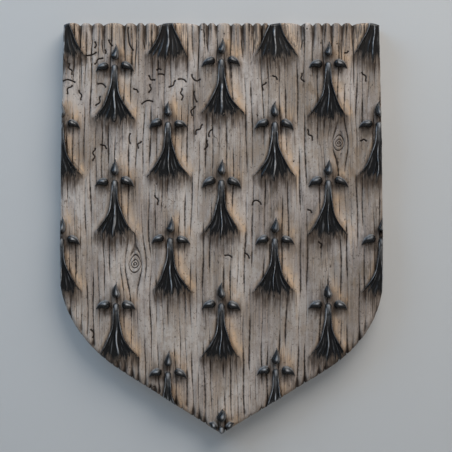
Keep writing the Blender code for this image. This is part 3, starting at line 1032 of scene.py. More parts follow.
@dataclass
class Plaque:
    """The casting: one closed relief mesh with a rounded edge, side walls and a flat back."""

    outline: Outline
    spots: ErmineSpots
    wood: WeatheredWood
    columns: int = 600
    rows: int = 700
    triangles: int = 196000
    crowding: float = 0.25
    border_cells: float = 24.0
    edge_rough: Waves = Waves(12, 12, (4 * MM, 20 * MM), (5 * MM, 24 * MM))
    edge_change: float = 0.18
    edge_relief: float = 0.6
    notch_reach: float = 8 * MM
    nick: float = 1.5 * MM
    nick_reach: float = 2.2 * MM
    nick_level: float = -0.35
    tallest: float = 3.2 * MM
    spot_blend: float = 0.25 * MM
    kept_reach: float = 2.0
    back_break: float = 0.6 * MM
    smooth_angle: float = math.radians(75.0)
    front_band: Pair = (3.2 * MM, 2.0 * MM)
    side_band: Pair = (1.0 * MM, 5.0 * MM)
    bare_band: Pair = (0.05 * MM, 1.4 * MM)

    def sheet(self) -> bpy.types.Object:
        """Adds the grid that becomes the face.

        Returns:
            The grid, two units wide and high, upright in the plane of the wall.
        """
        bpy.ops.object.select_all(action="DESELECT")
        bpy.ops.mesh.primitive_grid_add(x_subdivisions=self.columns, y_subdivisions=self.rows, size=2.0,
                                        rotation=(RIGHT_ANGLE, 0.0, 0.0))
        made = bpy.context.object
        made.name = "shield_plaque"
        bpy.ops.object.transform_apply(location=True, rotation=True, scale=True)
        return made

    def face_field(self, x: Array, z: Array) -> Field:
        """Everything that is carved and painted on the face.

        Args:
            x: Places across, in metres.
            z: Places up, in metres.

        Returns:
            The carved and painted places.
        """
        face = Field(x, z)
        self.wood.carve(face)
        self.spots.carve(face)
        return face

    def points(self, made: bpy.types.Object) -> Array:
        """Every point of a mesh.

        Args:
            made: The mesh's object.

        Returns:
            Rows of x, y and z.
        """
        flat = np.empty(3 * len(made.data.vertices))
        made.data.vertices.foreach_get("co", flat)
        return flat.reshape(-1, 3)

    def shape(self, made: bpy.types.Object) -> None:
        """Moves the grid's points to the outline and raises the carving.

        Args:
            made: The grid, two units wide and high.
        """
        flat = self.points(made)
        u, v = flat[:, 0], (flat[:, 2] + 1.0) / 2.0
        spread = (1.0 - self.crowding) * u + self.crowding * np.sin(math.pi / 2 * u)
        half, top = self.outline.width / 2, self.outline.height / 2
        low = self.outline.bottom(spread * half)
        z = low + v * (top - low)
        x = spread * self.outline.side_half(z)
        border = np.abs(u) > 1.0 - self.border_cells / self.columns
        border |= np.abs(2 * v - 1) > 1.0 - self.border_cells / self.rows
        edge = np.full(len(u), 1.0)
        edge[border] = self.outline.distance(x[border], z[border])
        bevel = self.outline.edge_round * (1.0 + self.edge_change * self.edge_rough.height(x, z))
        fallen = bevel * (1.0 - dome(unit(1.0 - edge / bevel)))
        notch = self.outline.notch_drop(x) * smooth(self.notch_reach, 0.0, top - z)
        _, opened, gap = self.wood.lanes.trace(x, z)
        levels = (self.outline.shoulder_level, self.nick_level)
        below = smooth(*(level * self.outline.height for level in levels), z)
        nick = self.nick * self.wood.lanes.groove(gap, opened) * smooth(self.nick_reach, 0.0, edge) * below
        z = z - notch + nick
        face = self.face_field(x, z)
        blend = smooth(0.0, self.spot_blend, face.spot)
        rise = face.height * (1.0 - blend) + np.maximum(face.spot, face.height * 0.3) * blend
        soft = unit(edge / (0.5 * bevel))
        rise = np.minimum(rise * (self.edge_relief + (1.0 - self.edge_relief) * soft), self.tallest)
        y = -(self.outline.thickness - fallen) - rise
        made.data.vertices.foreach_set("co", np.column_stack((x, y, z)).ravel())
        made.data.update()
        free = made.vertex_groups.new(name="free")
        free.add(np.nonzero(face.traces[Trace.TRACK] > self.kept_reach)[0].tolist(), 1.0, "REPLACE")

    def close(self, made: bpy.types.Object) -> None:
        """Draws the face's edge back to the wall and closes the back.

        Args:
            made: The carved face.
        """
        bpy.ops.object.select_all(action="DESELECT")
        made.select_set(True)
        bpy.context.view_layer.objects.active = made
        for depth, share in ((self.back_break, 1.0), (0.0, 1.0 - self.back_break / (self.outline.width / 2))):
            bpy.ops.object.mode_set(mode="EDIT")
            bpy.ops.mesh.select_mode(type="EDGE")
            bpy.ops.mesh.select_all(action="DESELECT")
            bpy.ops.mesh.select_non_manifold()
            bpy.ops.mesh.extrude_edges_move(TRANSFORM_OT_translate={"value": (0.0, self.back_break, 0.0)})
            bpy.ops.object.mode_set(mode="OBJECT")
            for vertex in made.data.vertices:
                if vertex.select:
                    vertex.co = (vertex.co.x * share, -depth, vertex.co.z * share)
        bpy.ops.object.mode_set(mode="EDIT")
        bpy.ops.mesh.select_all(action="DESELECT")
        bpy.ops.mesh.select_non_manifold()
        bpy.ops.mesh.edge_face_add()
        bpy.ops.mesh.select_all(action="SELECT")
        bpy.ops.mesh.normals_make_consistent(inside=False)
        bpy.ops.mesh.select_all(action="DESELECT")
        bpy.ops.object.mode_set(mode="OBJECT")

    def lighten(self, made: bpy.types.Object) -> None:
        """Takes triangles out where the surface is smooth, down to the piece's limit.

        Args:
            made: The closed mesh, selected and active.
        """
        thin = made.modifiers.new("thin_out", "DECIMATE")
        thin.decimate_type = "COLLAPSE"
        faces = 2 * (self.columns * self.rows) + 8 * (self.columns + self.rows)
        thin.ratio = self.triangles / faces
        thin.use_collapse_triangulate = True
        thin.vertex_group = "free"
        bpy.ops.object.modifier_apply(modifier=thin.name)
        made.vertex_groups.clear()
        depth = [-vertex.co.y for vertex in made.data.vertices]
        for edge in made.data.edges:
            edge.use_edge_sharp = max(depth[end] for end in edge.vertices) < 1.05 * self.back_break and (
                abs(depth[edge.vertices[0]] - depth[edge.vertices[1]]) < 0.05 * self.back_break)
        bpy.ops.object.shade_smooth_by_angle(angle=self.smooth_angle, keep_sharp_edges=True)

    def dress(self, made: bpy.types.Object) -> None:
        """Writes the paint masks of every point into the mesh.

        Args:
            made: The finished mesh.
        """
        flat = self.points(made)
        face = self.face_field(flat[:, 0].copy(), flat[:, 2].copy())
        depth = -flat[:, 1]
        front = smooth(*(self.outline.thickness - inset for inset in self.front_band), depth)
        side = smooth(*self.side_band, depth)
        masks = face.masks
        masks[Paint.INK] *= 0.25 * side + 0.75 * front
        masks[Paint.SILVER_AND_GLINT] *= front
        masks[Paint.CRACK] *= 0.5 * side + 0.5 * front
        # The side walls take 0.8 more of it as painted shade. It fades out towards the back.
        masks[Paint.WASH_AND_SHADE] = unit(masks[Paint.WASH_AND_SHADE] * side + 0.8 * (1.0 - front) * side)
        masks[Paint.FACE] = smooth(*self.bare_band, depth)
        for name, amount in (masks | face.traces).items():
            layer = made.data.attributes.new(name.value, "FLOAT", "POINT")
            layer.data.foreach_set("value", amount.astype(np.float32))

    def build(self) -> bpy.types.Object:
        """Makes the whole plaque.

        Returns:
            The finished piece, not yet painted.
        """
        made = self.sheet()
        self.shape(made)
        self.close(made)
        self.lighten(made)
        self.dress(made)
        return made



@dataclass(frozen=True)
class Speckle:
    """Noise on object coordinates, with its own scale on each axis, and the range it is eased over."""

    scale: Triple
    detail: float
    rough: float = 0.5
    low: float = 0.0
    high: float = 1.0
    start: float = 0.0
    end: float = 1.0


Input = Socket | float | Colour


class Canvas:
    """A small hand for wiring shader nodes."""

    def __init__(self, tree: bpy.types.NodeTree) -> None:
        """Starts on an empty node tree."""
        self.tree = tree
        tree.nodes.clear()

    def node(self, kind: str, **values: object) -> bpy.types.Node:
        """Adds one node.

        Args:
            kind: The node's type.
            values: Its own settings, by name.

        Returns:
            The node.
        """
        made = self.tree.nodes.new(kind)
        for name, value in values.items():
            setattr(made, name, value)
        return made

    def link(self, source: Socket, target: Socket) -> None:
        """Joins two sockets."""
        self.tree.links.new(source, target)

    def feed(self, socket: Socket, value: Input) -> None:
        """Gives a socket a plain value or the output of another node.

        Args:
            socket: The input that takes it.
            value: The value, or another node's output.
        """
        if isinstance(value, Socket):
            self.link(value, socket)
        else:
            socket.default_value = value

    def attribute(self, mask: Paint | Trace) -> Socket:
        """Reads one of the mesh's masks."""
        return self.node("ShaderNodeAttribute", attribute_name=mask.value).outputs["Fac"]

    def math(self, operation: str, a: Input, b: Input = 0.0, clamp: bool = False) -> Socket:
        """Adds one sum.

        Args:
            operation: The Math node's operation.
            a: Its first value.
            b: Its second value.
            clamp: Whether the result is kept between 0 and 1.

        Returns:
            The result.
        """
        made = self.node("ShaderNodeMath", operation=operation, use_clamp=clamp)
        self.feed(made.inputs[0], a)
        self.feed(made.inputs[1], b)
        return made.outputs[0]

    def times(self, first: Input, *others: Input, clamp: bool = False) -> Socket:
        """Multiplies values together.

        Args:
            first: The first value.
            others: The rest of them.
            clamp: Whether the result is kept between 0 and 1.

        Returns:
            Their product.
        """
        for other in others[:-1]:
            first = self.math("MULTIPLY", first, other)
        return self.math("MULTIPLY", first, others[-1], clamp)

    def plus(self, a: Input, b: Input) -> Socket:
        """Adds two values."""
        return self.math("ADD", a, b)

    def minus(self, a: Input, b: Input) -> Socket:
        """Takes one value from another."""
        return self.math("SUBTRACT", a, b)

    def more(self, a: Input, b: Input) -> Socket:
        """The larger of two values."""
        return self.math("MAXIMUM", a, b)

    def size(self, value: Input) -> Socket:
        """A value without its sign."""
        return self.math("ABSOLUTE", value)

    def mix(self, amount: Input, a: Input, b: Input) -> Socket:
        """Mixes two colours.

        Args:
            amount: How much of the second one shows.
            a: The first colour.
            b: The second colour.

        Returns:
            The mixed colour.
        """
        made = self.node("ShaderNodeMix", data_type="RGBA")
        for name, given in (("Factor", amount), ("A", a), ("B", b)):
            self.feed(made.inputs[name], given)
        return made.outputs["Result"]

    def ramp(self, value: Input, low: float, high: float, start: float = 0.0, end: float = 1.0) -> Socket:
        """Eases a value from one range to another.

        Args:
            value: The value.
            low: Where the easing begins.
            high: Where it ends. It may lie below low, which turns the ramp round.
            start: The result at low.
            end: The result at high.

        Returns:
            The eased value.
        """
        made = self.node("ShaderNodeMapRange", interpolation_type="SMOOTHSTEP")
        names = ("Value", "From Min", "From Max", "To Min", "To Max")
        for name, given in zip(names, (value, low, high, start, end)):
            self.feed(made.inputs[name], given)
        return made.outputs["Result"]

    def noise(self, speckle: Speckle) -> Socket:
        """Draws a noise as it is.

        Args:
            speckle: The noise.

        Returns:
            Its value, from about 0 to 1.
        """
        mapping = self.node("ShaderNodeMapping")
        mapping.inputs["Scale"].default_value = speckle.scale
        self.link(self.node("ShaderNodeTexCoord").outputs["Object"], mapping.inputs["Vector"])
        made = self.node("ShaderNodeTexNoise")
        for name, given in (("Scale", 1.0), ("Detail", speckle.detail), ("Roughness", speckle.rough)):
            made.inputs[name].default_value = given
        self.link(mapping.outputs["Vector"], made.inputs["Vector"])
        return made.outputs["Fac"]

    def speckled(self, speckle: Speckle) -> Socket:
        """Draws a noise, eased over its range."""
        return self.ramp(self.noise(speckle), speckle.low, speckle.high, speckle.start, speckle.end)


def effect_group(name: str, inputs: tuple[str, ...],
                 outputs: tuple[str, ...]) -> tuple[Canvas, dict[str, Socket], bpy.types.Node]:
    """Starts a shader node group with plain values in and out.

    Args:
        name: The group's name.
        inputs: Names of its inputs.
        outputs: Names of its outputs.

    Returns:
        The canvas of the group, its inputs by name and its output node.
    """
    tree = bpy.data.node_groups.new(name, "ShaderNodeTree")
    for way, names in (("INPUT", inputs), ("OUTPUT", outputs)):
        for each in names:
            tree.interface.new_socket(each, in_out=way, socket_type="NodeSocketFloat")
    canvas = Canvas(tree)
    given = canvas.node("NodeGroupInput")
    return canvas, {each: given.outputs[each] for each in inputs}, canvas.node("NodeGroupOutput")


@dataclass(frozen=True)
class WoodGrain:
    """Streaks along the grain: broad bands, fine lines, crisp fibres and a height for the bump."""

    bands: Speckle = Speckle((170.0, 170.0, 9.0), 3.0, 0.55, 0.38, 0.64)
    lines: Speckle = Speckle((820.0, 820.0, 24.0), 4.0, 0.6, 0.42, 0.68)
    fibres: Speckle = Speckle((1250.0, 1250.0, 17.0), 2.0, 0.5, 0.46, 0.58)
    coarse: Speckle = Speckle((1500.0, 1500.0, 420.0), 3.0, 0.6)
    line_height: float = 0.55
    coarse_height: float = 0.45

    def group(self) -> bpy.types.NodeTree:
        """Builds the node group.

        Returns:
            The node group, with Bands, Lines, Fibres and Height.
        """
        canvas, _, out = effect_group("wood_grain_streaks", (), ("Bands", "Lines", "Fibres", "Height"))
        for name, speckle in (("Bands", self.bands), ("Lines", self.lines), ("Fibres", self.fibres)):
            canvas.link(canvas.speckled(speckle), out.inputs[name])
        height = canvas.plus(canvas.times(canvas.noise(self.lines), self.line_height),
                             canvas.times(canvas.noise(self.coarse), self.coarse_height))
        canvas.link(height, out.inputs["Height"])
        return canvas.tree


@dataclass(frozen=True)
class Mottle:
    """Uneven paint: large patches, small blotches, specks and a fine grit."""

    patches: Speckle = Speckle((48.0, 48.0, 30.0), 3.0, 0.5, 0.36, 0.64)
    blotches: Speckle = Speckle((260.0, 260.0, 150.0), 4.0, 0.6, 0.38, 0.66)
    specks: Speckle = Speckle((900.0, 900.0, 620.0), 2.0, 0.6, 0.60, 0.72)
    grit: Speckle = Speckle((1500.0, 1500.0, 1000.0), 3.0, 0.6, 0.38, 0.62)

    def group(self) -> bpy.types.NodeTree:
        """Builds the node group.

        Returns:
            The node group, with Patches, Blotches, Specks and Grit.
        """
        masks = {"Patches": self.patches, "Blotches": self.blotches, "Specks": self.specks, "Grit": self.grit}
        canvas, _, out = effect_group("paint_mottle", (), tuple(masks))
        for name, speckle in masks.items():
            canvas.link(canvas.speckled(speckle), out.inputs[name])
        return canvas.tree


@dataclass(frozen=True)
class CrackPaint:
    """Dark line and brown halo of each long crack, drawn from its lane coordinate."""

    beads: Speckle = Speckle((500.0, 500.0, 520.0), 2.0, 0.5, 0.35, 0.68, 0.55, 1.35)
    line_reach: float = 1.45
    halo_reach: float = 3.2
    line_strength: float = 1.9
    halo_strength: float = 0.8

    def group(self, lanes: CrackLanes) -> bpy.types.NodeTree:
        """Builds the node group.

        Args:
            lanes: The cracks, for their pitch and width.

        Returns:
            The node group, from Lane and Open to Line and Halo.
        """
        canvas, given, out = effect_group("lane_cracks", ("Lane", "Open"), ("Line", "Halo"))
        gap = canvas.size(canvas.minus(canvas.math("FRACT", canvas.plus(given["Lane"], 100.5)), 0.5))
        width = canvas.times(given["Open"], canvas.speckled(self.beads))
        line = canvas.minus(width, canvas.times(gap, lanes.pitch / (self.line_reach * lanes.half)))
        halo = canvas.minus(given["Open"], canvas.times(gap, lanes.pitch / (self.halo_reach * lanes.half)))
        canvas.link(canvas.times(line, self.line_strength, clamp=True), out.inputs["Line"])
        canvas.link(canvas.times(halo, self.halo_strength, clamp=True), out.inputs["Halo"])
        return canvas.tree


@dataclass(frozen=True)
class TailBrushAndSheen:
    """Silvery dry-brushing over a tail's crests, a painted highlight down the upper stem, and its torn end.

    The line pairs are distances, in shares of the spot's length, where a line fades out and where
    it is full. The other pairs are places down the tail, or across it in half widths.
    """

    bend: Speckle = Speckle((160.0, 160.0, 60.0), 2.0)
    bend_size: float = 0.22
    patchy: Speckle = Speckle((420.0, 420.0, 110.0), 2.0, 0.5, 0.40, 0.62)
    broken: Speckle = Speckle((300.0, 300.0, 240.0), 2.0, 0.5, 0.36, 0.56, 0.35, 1.0)
    worn: Speckle = Speckle((260.0, 260.0, 120.0), 2.0, 0.5, 0.38, 0.60, 0.30, 1.0)
    crest_line: Pair = (0.010, 0.001)
    rim_line: Pair = (0.009, 0.001)
    sheen_line: Pair = (0.034, 0.006)
    hair_begins: Pair = (0.52, 0.72)
    hair_strength: float = 0.22
    middle_begins: Pair = (0.30, 0.52)
    sheen_ends: Pair = (0.46, 0.06)
    sheen_begins: Pair = (0.0, 0.04)
    sheen_strength: float = 0.34
    rim_begins: Pair = (0.0, 0.08)
    rim_sides: tuple[float, float, float, float] = (-0.3, 0.3, 0.95, 0.50)
    rim_fades: tuple[float, float, float, float] = (0.85, 0.45, 0.35, 1.0)
    crests_end: Pair = (0.98, 0.74)
    tear_size: float = 0.16
    body_end: Pair = (0.98, 0.86)
    body_side: Pair = (1.02, 0.98)
    torn_end: Pair = (1.08, 0.88)
    torn_side: Pair = (1.04, 0.80)
    torn_begins: Pair = (0.80, 0.95)

    def crests(self, canvas: Canvas, given: dict[str, Socket], tail: Tail) -> Socket:
        """Draws the silvery lines: dry-brushing on the crests and a painted sheen down the stem.

        Args:
            canvas: The group's canvas.
            given: The group's inputs.
            tail: The tail, for its rims and hairs.

        Returns:
            How much dry-brushing and painted sheen shows.
        """
        along, girth = given["Along"], given["Girth"]
        bend = canvas.times(canvas.minus(canvas.noise(self.bend), 0.5), self.bend_size)
        across = canvas.plus(given["Across"], bend)
        turned = canvas.math("FRACT", canvas.plus(canvas.times(across, tail.hairs), 50.5))
        hair_gap = canvas.times(canvas.size(canvas.minus(turned, 0.5)), 1.0 / tail.hairs, girth)
        hair = canvas.times(canvas.ramp(hair_gap, *self.crest_line), canvas.ramp(along, *self.hair_begins),
                            canvas.speckled(self.patchy), self.hair_strength)
        broken = canvas.speckled(self.broken)
        middle_gap = canvas.times(canvas.size(across), girth)
        middle = canvas.times(canvas.ramp(middle_gap, *self.crest_line),
                              canvas.ramp(along, *self.middle_begins), broken)
        # A painted highlight: a sheen down the upper middle of each stem.
        sheen = canvas.times(canvas.ramp(middle_gap, *self.sheen_line), canvas.ramp(along, *self.sheen_ends),
                             broken, canvas.ramp(along, *self.sheen_begins, 0.0, self.sheen_strength))
        edge_gap = canvas.times(canvas.minus(1.0, canvas.size(given["Across"])), girth)
        rim = canvas.ramp(canvas.size(canvas.minus(edge_gap, tail.rim_inset)), *self.rim_line)
        rim = canvas.times(rim, canvas.ramp(along, *self.rim_begins), canvas.speckled(self.worn),
                           canvas.ramp(given["Across"], *self.rim_sides), canvas.ramp(along, *self.rim_fades))
        lines = canvas.more(rim, canvas.more(hair, canvas.more(middle, sheen)))
        return canvas.times(lines, canvas.ramp(along, *self.crests_end))

    def group(self, tail: Tail) -> bpy.types.NodeTree:
        """Builds the node group.

        Args:
            tail: The tail, for its rims and hairs.

        Returns:
            The node group, from the place on the tail and the wood's streaks to masks.
        """
        canvas, given, out = effect_group("tail_hair", ("Across", "Along", "Girth", "Streaks"),
                                          ("Crests", "Body", "Torn"))
        side = canvas.size(given["Across"])
        ragged = canvas.minus(given["Along"], canvas.times(given["Streaks"], self.tear_size))
        body = canvas.times(canvas.ramp(ragged, *self.body_end), canvas.ramp(side, *self.body_side))
        torn = canvas.times(canvas.ramp(ragged, *self.torn_end), canvas.ramp(side, *self.torn_side),
                            canvas.ramp(given["Along"], *self.torn_begins))
        canvas.link(self.crests(canvas, given, tail), out.inputs["Crests"])
        canvas.link(body, out.inputs["Body"])
        canvas.link(torn, out.inputs["Torn"])
        return canvas.tree


@dataclass(frozen=True)
class WeatheredPaint:
    """The plaque's finish: grey-beige ground, washes, near-black spots, silvery dry-brushing, painted shade
    and painted highlights.
    """

    lanes: CrackLanes
    tail: Tail
    chalk: Colour = (0.682, 0.600, 0.534, 1.0)
    ground_light: Colour = (0.494, 0.420, 0.364, 1.0)
    ground_mid: Colour = (0.345, 0.296, 0.262, 1.0)
    ground_dark: Colour = (0.150, 0.120, 0.094, 1.0)
    rosy: Colour = (0.450, 0.372, 0.345, 1.0)
    ochre: Colour = (0.604, 0.414, 0.266, 1.0)
    brown: Colour = (0.060, 0.040, 0.028, 1.0)
    crack: Colour = (0.028, 0.017, 0.0115, 1.0)
    ink: Colour = (0.0085, 0.0080, 0.0080, 1.0)
    silver_and_glint: Colour = (0.490, 0.485, 0.490, 1.0)
    bare: Colour = (0.300, 0.268, 0.235, 1.0)
    rosy_share: float = 0.5
    grit_share: float = 0.30
    line_share: float = 0.38
    speck_share: float = 0.70
    clean_power: float = 3.0
    chalk_range: Pair = (0.65, 0.2)
    soil_and_shade_range: Pair = (0.35, 0.95)
    stray_ochre: float = 0.16
    ochre_blotches: float = 0.72
    ochre_patches: float = 0.36
    ochre_least: float = 0.32
    pale_streak: float = 0.5
    dark_streak: float = 0.7
    wash_and_shade_range: Pair = (0.6, 0.9)
    wash_and_shade_blotches: float = 0.35
    halo_share: float = 0.55
    lane_share: float = 0.88
    crack_share: float = 0.92
    track_line: Pair = (1.15, 0.65)
    torn_share: float = 0.85
    tail_end: Pair = (0.80, 0.86)
    tail_side: Pair = (1.15, 1.05)
    brush_range: Pair = (0.95, 0.45)
    rough_range: Pair = (0.68, 0.26)
    specular: float = 0.32
    bump_strength: float = 0.6
    bump_depth: float = 0.4 * MM
    speck_depth: float = 0.3

    def cracks(self, canvas: Canvas) -> tuple[Socket, Socket]:
        """Draws the dark lines of every cut.

        Args:
            canvas: The material's canvas.

        Returns:
            The brown halo beside the long cracks, and the dark lines of all cuts.
        """
        cracks = canvas.node("ShaderNodeGroup", node_tree=CrackPaint().group(self.lanes))
        for name, trace in (("Lane", Trace.LANE), ("Open", Trace.OPEN)):
            canvas.link(canvas.attribute(trace), cracks.inputs[name])
        line = canvas.times(cracks.outputs["Line"], self.lane_share)
        line = canvas.more(line, canvas.attribute(Paint.CRACK))
        line = canvas.more(line, canvas.ramp(canvas.attribute(Trace.TRACK), *self.track_line))
        return canvas.times(cracks.outputs["Halo"], self.halo_share), canvas.times(line, self.crack_share)

    def ground(self, canvas: Canvas, grain: bpy.types.NodeOutputs, mottle: bpy.types.NodeOutputs) -> Socket:
        """Colours everything but the spots, one coat over another.

        Args:
            canvas: The material's canvas.
            grain: Outputs of the grain group.
            mottle: Outputs of the mottle group.

        Returns:
            The colour of the ground.
        """
        patches, blotches = mottle["Patches"], mottle["Blotches"]
        soil_and_shade, streak = canvas.attribute(Paint.SOIL_AND_SHADE), canvas.attribute(Paint.STREAK)
        clean_and_unshaded = canvas.math("POWER", canvas.minus(1.0, soil_and_shade), self.clean_power)
        stray = canvas.times(canvas.minus(1.0, patches), blotches, self.stray_ochre)
        patchy = canvas.plus(canvas.times(blotches, self.ochre_blotches),
                             canvas.times(patches, self.ochre_patches))
        tint = canvas.times(canvas.attribute(Paint.OCHRE), canvas.plus(patchy, self.ochre_least), clamp=True)
        broken = canvas.plus(canvas.ramp(grain["Lines"], 0.0, 1.0, *self.wash_and_shade_range),
                             canvas.times(blotches, self.wash_and_shade_blotches))
        halo, line = self.cracks(canvas)
        coats = (
            (canvas.times(patches, self.rosy_share), self.rosy),
            (canvas.times(mottle["Grit"], self.grit_share), self.ground_dark),
            (canvas.times(grain["Lines"], self.line_share), self.ground_dark),
            # Chalk where the ground has neither dirt nor painted shadow.
            (canvas.times(clean_and_unshaded, canvas.ramp(blotches, 0.0, 1.0, *self.chalk_range)), self.chalk),
            # Dirt, with painted shadow on the left of each tail.
            (canvas.times(soil_and_shade, canvas.ramp(blotches, 0.0, 1.0, *self.soil_and_shade_range), clamp=True),
             self.ground_dark),
            (canvas.more(tint, stray), self.ochre),
            (canvas.times(streak, self.pale_streak, canvas.minus(1.0, grain["Fibres"])), self.ochre),
            (canvas.times(streak, self.dark_streak, grain["Fibres"]), self.brown),
            # Brown wash, with painted shade round the spots, along the tails' edges, down the top lobes'
            # sides and on the side walls.
            (canvas.times(canvas.attribute(Paint.WASH_AND_SHADE), broken, clamp=True), self.brown),
            (canvas.times(mottle["Specks"], self.speck_share), self.brown),
            (halo, self.brown),
            (line, self.crack))
        colour = canvas.mix(grain["Bands"], self.ground_mid, self.ground_light)
        for amount, coat in coats:
            colour = canvas.mix(amount, colour, coat)
        return colour

    def material(self) -> bpy.types.Material:
        """Builds the material.

        Returns:
            The material, driven by the mesh's paint masks.
        """
        made = bpy.data.materials.new("weathered_paint")
        made.use_nodes = True
        canvas = Canvas(made.node_tree)
        grain = canvas.node("ShaderNodeGroup", node_tree=WoodGrain().group()).outputs
        mottle = canvas.node("ShaderNodeGroup", node_tree=Mottle().group()).outputs
        hair = canvas.node("ShaderNodeGroup", node_tree=TailBrushAndSheen().group(self.tail))
        for name, trace in (("Across", Trace.ACROSS), ("Along", Trace.ALONG), ("Girth", Trace.GIRTH)):
            canvas.link(canvas.attribute(trace), hair.inputs[name])
        canvas.link(grain["Fibres"], hair.inputs["Streaks"])
        torn = canvas.times(hair.outputs["Torn"], self.torn_share)
        ground = canvas.mix(torn, self.ground(canvas, grain, mottle), self.brown)
        end = canvas.ramp(canvas.attribute(Trace.ALONG), *self.tail_end)
        inside = canvas.ramp(canvas.size(canvas.attribute(Trace.ACROSS)), *self.tail_side)
        gone = canvas.times(end, inside, canvas.minus(1.0, hair.outputs["Body"]))
        ink = canvas.times(canvas.attribute(Paint.INK), canvas.minus(1.0, gone), clamp=True)
        # Silvery dry-brushing on the tails' crests, with painted highlights: glints and lit rims on the caps
        # and drops, and a sheen down the stems.
        brush_and_glint = canvas.times(canvas.more(canvas.attribute(Paint.SILVER_AND_GLINT), hair.outputs["Crests"]),
                             canvas.ramp(grain["Lines"], 0.0, 1.0, *self.brush_range), clamp=True)
        painted = canvas.mix(canvas.times(brush_and_glint, ink), canvas.mix(ink, ground, self.ink), self.silver_and_glint)
        shader = canvas.node("ShaderNodeBsdfPrincipled")
        canvas.link(canvas.mix(canvas.attribute(Paint.FACE), self.bare, painted), shader.inputs["Base Color"])
        canvas.link(canvas.ramp(ink, 0.0, 1.0, *self.rough_range), shader.inputs["Roughness"])
        shader.inputs["Specular IOR Level"].default_value = self.specular
        relief = canvas.node("ShaderNodeBump")
        relief.inputs["Strength"].default_value = self.bump_strength
        relief.inputs["Distance"].default_value = self.bump_depth
        height = canvas.minus(grain["Height"], canvas.times(mottle["Specks"], self.speck_depth))
        canvas.link(height, relief.inputs["Height"])
        canvas.link(relief.outputs["Normal"], shader.inputs["Normal"])
        canvas.link(shader.outputs["BSDF"], canvas.node("ShaderNodeOutputMaterial").inputs["Surface"])
        return made


@dataclass(frozen=True)
class WallPaint:
    """Matt pale paint for the wall and floor, clear from behind so the back can be seen."""

    colour: Colour = (0.572, 0.568, 0.56, 1.0)
    roughness: float = 0.85
    specular: float = 0.2

    def material(self, name: str) -> bpy.types.Material:
        """Builds the material.

        Args:
            name: The material's name.

        Returns:
            The material.
        """
        made = bpy.data.materials.new(name)
        made.use_nodes = True
        canvas = Canvas(made.node_tree)
        shader = canvas.node("ShaderNodeBsdfPrincipled")
        shader.inputs["Base Color"].default_value = self.colour
        shader.inputs["Roughness"].default_value = self.roughness
        shader.inputs["Specular IOR Level"].default_value = self.specular
        either = canvas.node("ShaderNodeMixShader")
        canvas.link(canvas.node("ShaderNodeNewGeometry").outputs["Backfacing"], either.inputs[0])
        canvas.link(shader.outputs["BSDF"], either.inputs[1])
        canvas.link(canvas.node("ShaderNodeBsdfTransparent").outputs["BSDF"], either.inputs[2])
        canvas.link(either.outputs["Shader"], canvas.node("ShaderNodeOutputMaterial").inputs["Surface"])
        return made


@dataclass(frozen=True)
class Lamp:
    """One soft round light that faces the middle of the plaque."""

    name: str
    place: Triple
    size: float
    power: float
    colour: Triple

    def add(self) -> None:
        """Adds the light to the scene."""
        data = bpy.data.lights.new(self.name, "AREA")
        data.shape = "DISK"
        data.size = self.size
        data.energy = self.power
        data.color = self.colour
        made = bpy.data.objects.new(self.name, data)
        bpy.context.collection.objects.link(made)
        made.location = self.place
        aim = -made.location
        made.rotation_euler = aim.to_track_quat("-Z", "Y").to_euler()


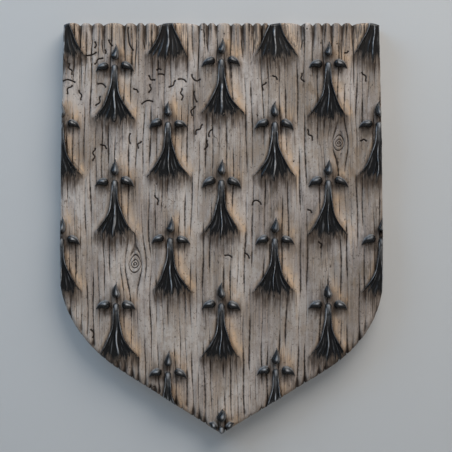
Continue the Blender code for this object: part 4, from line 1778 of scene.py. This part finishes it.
@dataclass
class Studio:
    """The plain wall and floor, soft light from the upper right, and the camera."""

    wall_gap: float = 0.4 * MM
    reach: float = 3.0
    floor_level: float = -0.75
    lamps: tuple[Lamp, ...] = (
        Lamp("key", (0.38, -0.64, 0.93), 1.0, 12.0, (1.0, 0.965, 0.918)),
        Lamp("fill", (-0.90, -0.52, 0.84), 1.0, 7.8, (0.37, 0.66, 1.0)),
        Lamp("behind", (0.5, 1.6, 0.5), 1.2, 16.0, (1.0, 1.0, 1.0)))
    sky: Colour = (0.90, 0.95, 1.0, 1.0)
    sky_strength: float = 0.25
    lens: float = 100.0
    frame_width: float = 0.2798
    view_centre: Pair = (0.0028, 0.0015)

    def plane(self, name: str, location: Triple, turn: Triple) -> bpy.types.Object:
        """Adds one large plain sheet that isn't part of the object.

        Args:
            name: The sheet's name.
            location: Its middle.
            turn: Its turn about each axis.

        Returns:
            The sheet.
        """
        bpy.ops.object.select_all(action="DESELECT")
        bpy.ops.mesh.primitive_plane_add(size=self.reach, location=location, rotation=turn)
        made = bpy.context.object
        made.name = name
        made.data.materials.append(WallPaint().material(f"{name}_paint"))
        return made

    def point_camera(self, thickness: float) -> None:
        """Adds the camera, straight in front of the plaque as in the photo.

        Args:
            thickness: Depth of the plaque's face in front of the wall.
        """
        camera = bpy.data.cameras.new("camera")
        camera.lens = self.lens
        made = bpy.data.objects.new("camera", camera)
        bpy.context.collection.objects.link(made)
        distance = self.frame_width * self.lens / camera.sensor_width
        made.location = (self.view_centre[0], -thickness - distance, self.view_centre[1])
        made.rotation_euler = (RIGHT_ANGLE, 0.0, 0.0)
        bpy.context.scene.camera = made

    def build(self, thickness: float) -> None:
        """Sets the whole studio up.

        Args:
            thickness: Depth of the plaque's face in front of the wall.
        """
        wall = self.plane("wall", (0.0, self.wall_gap, 0.0), (RIGHT_ANGLE, 0.0, 0.0))
        wall.visible_shadow = False
        self.plane("floor", (0.0, -self.reach / 2, self.floor_level), (0.0, 0.0, 0.0))
        for lamp in self.lamps:
            lamp.add()
        world = bpy.data.worlds.new("studio")
        world.use_nodes = True
        background = world.node_tree.nodes["Background"]
        background.inputs["Color"].default_value = self.sky
        background.inputs["Strength"].default_value = self.sky_strength
        bpy.context.scene.world = world
        self.point_camera(thickness)
        bpy.context.scene.view_settings.view_transform = "Standard"


def main() -> None:
    """Builds the plaque, paints it and sets up the studio."""
    low, high = (np.array(corner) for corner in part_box(NODE))
    outline = Outline(width=float(high[0] - low[0]), height=float(high[2] - low[2]), thickness=13.5 * MM)
    spots = ErmineSpots(outline)
    lanes = CrackLanes(outline)
    piece = Plaque(outline, spots, WeatheredWood(outline, lanes)).build()
    piece.data.materials.clear()
    piece.data.materials.append(WeatheredPaint(lanes, spots.tail).material())
    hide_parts(NODE)
    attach(piece, "root")
    LOG.info("%s: %d spots, %d triangles", piece.name, len(spots.places()), len(piece.data.polygons))
    Studio().build(outline.thickness)


if __name__ == "__main__":
    main()
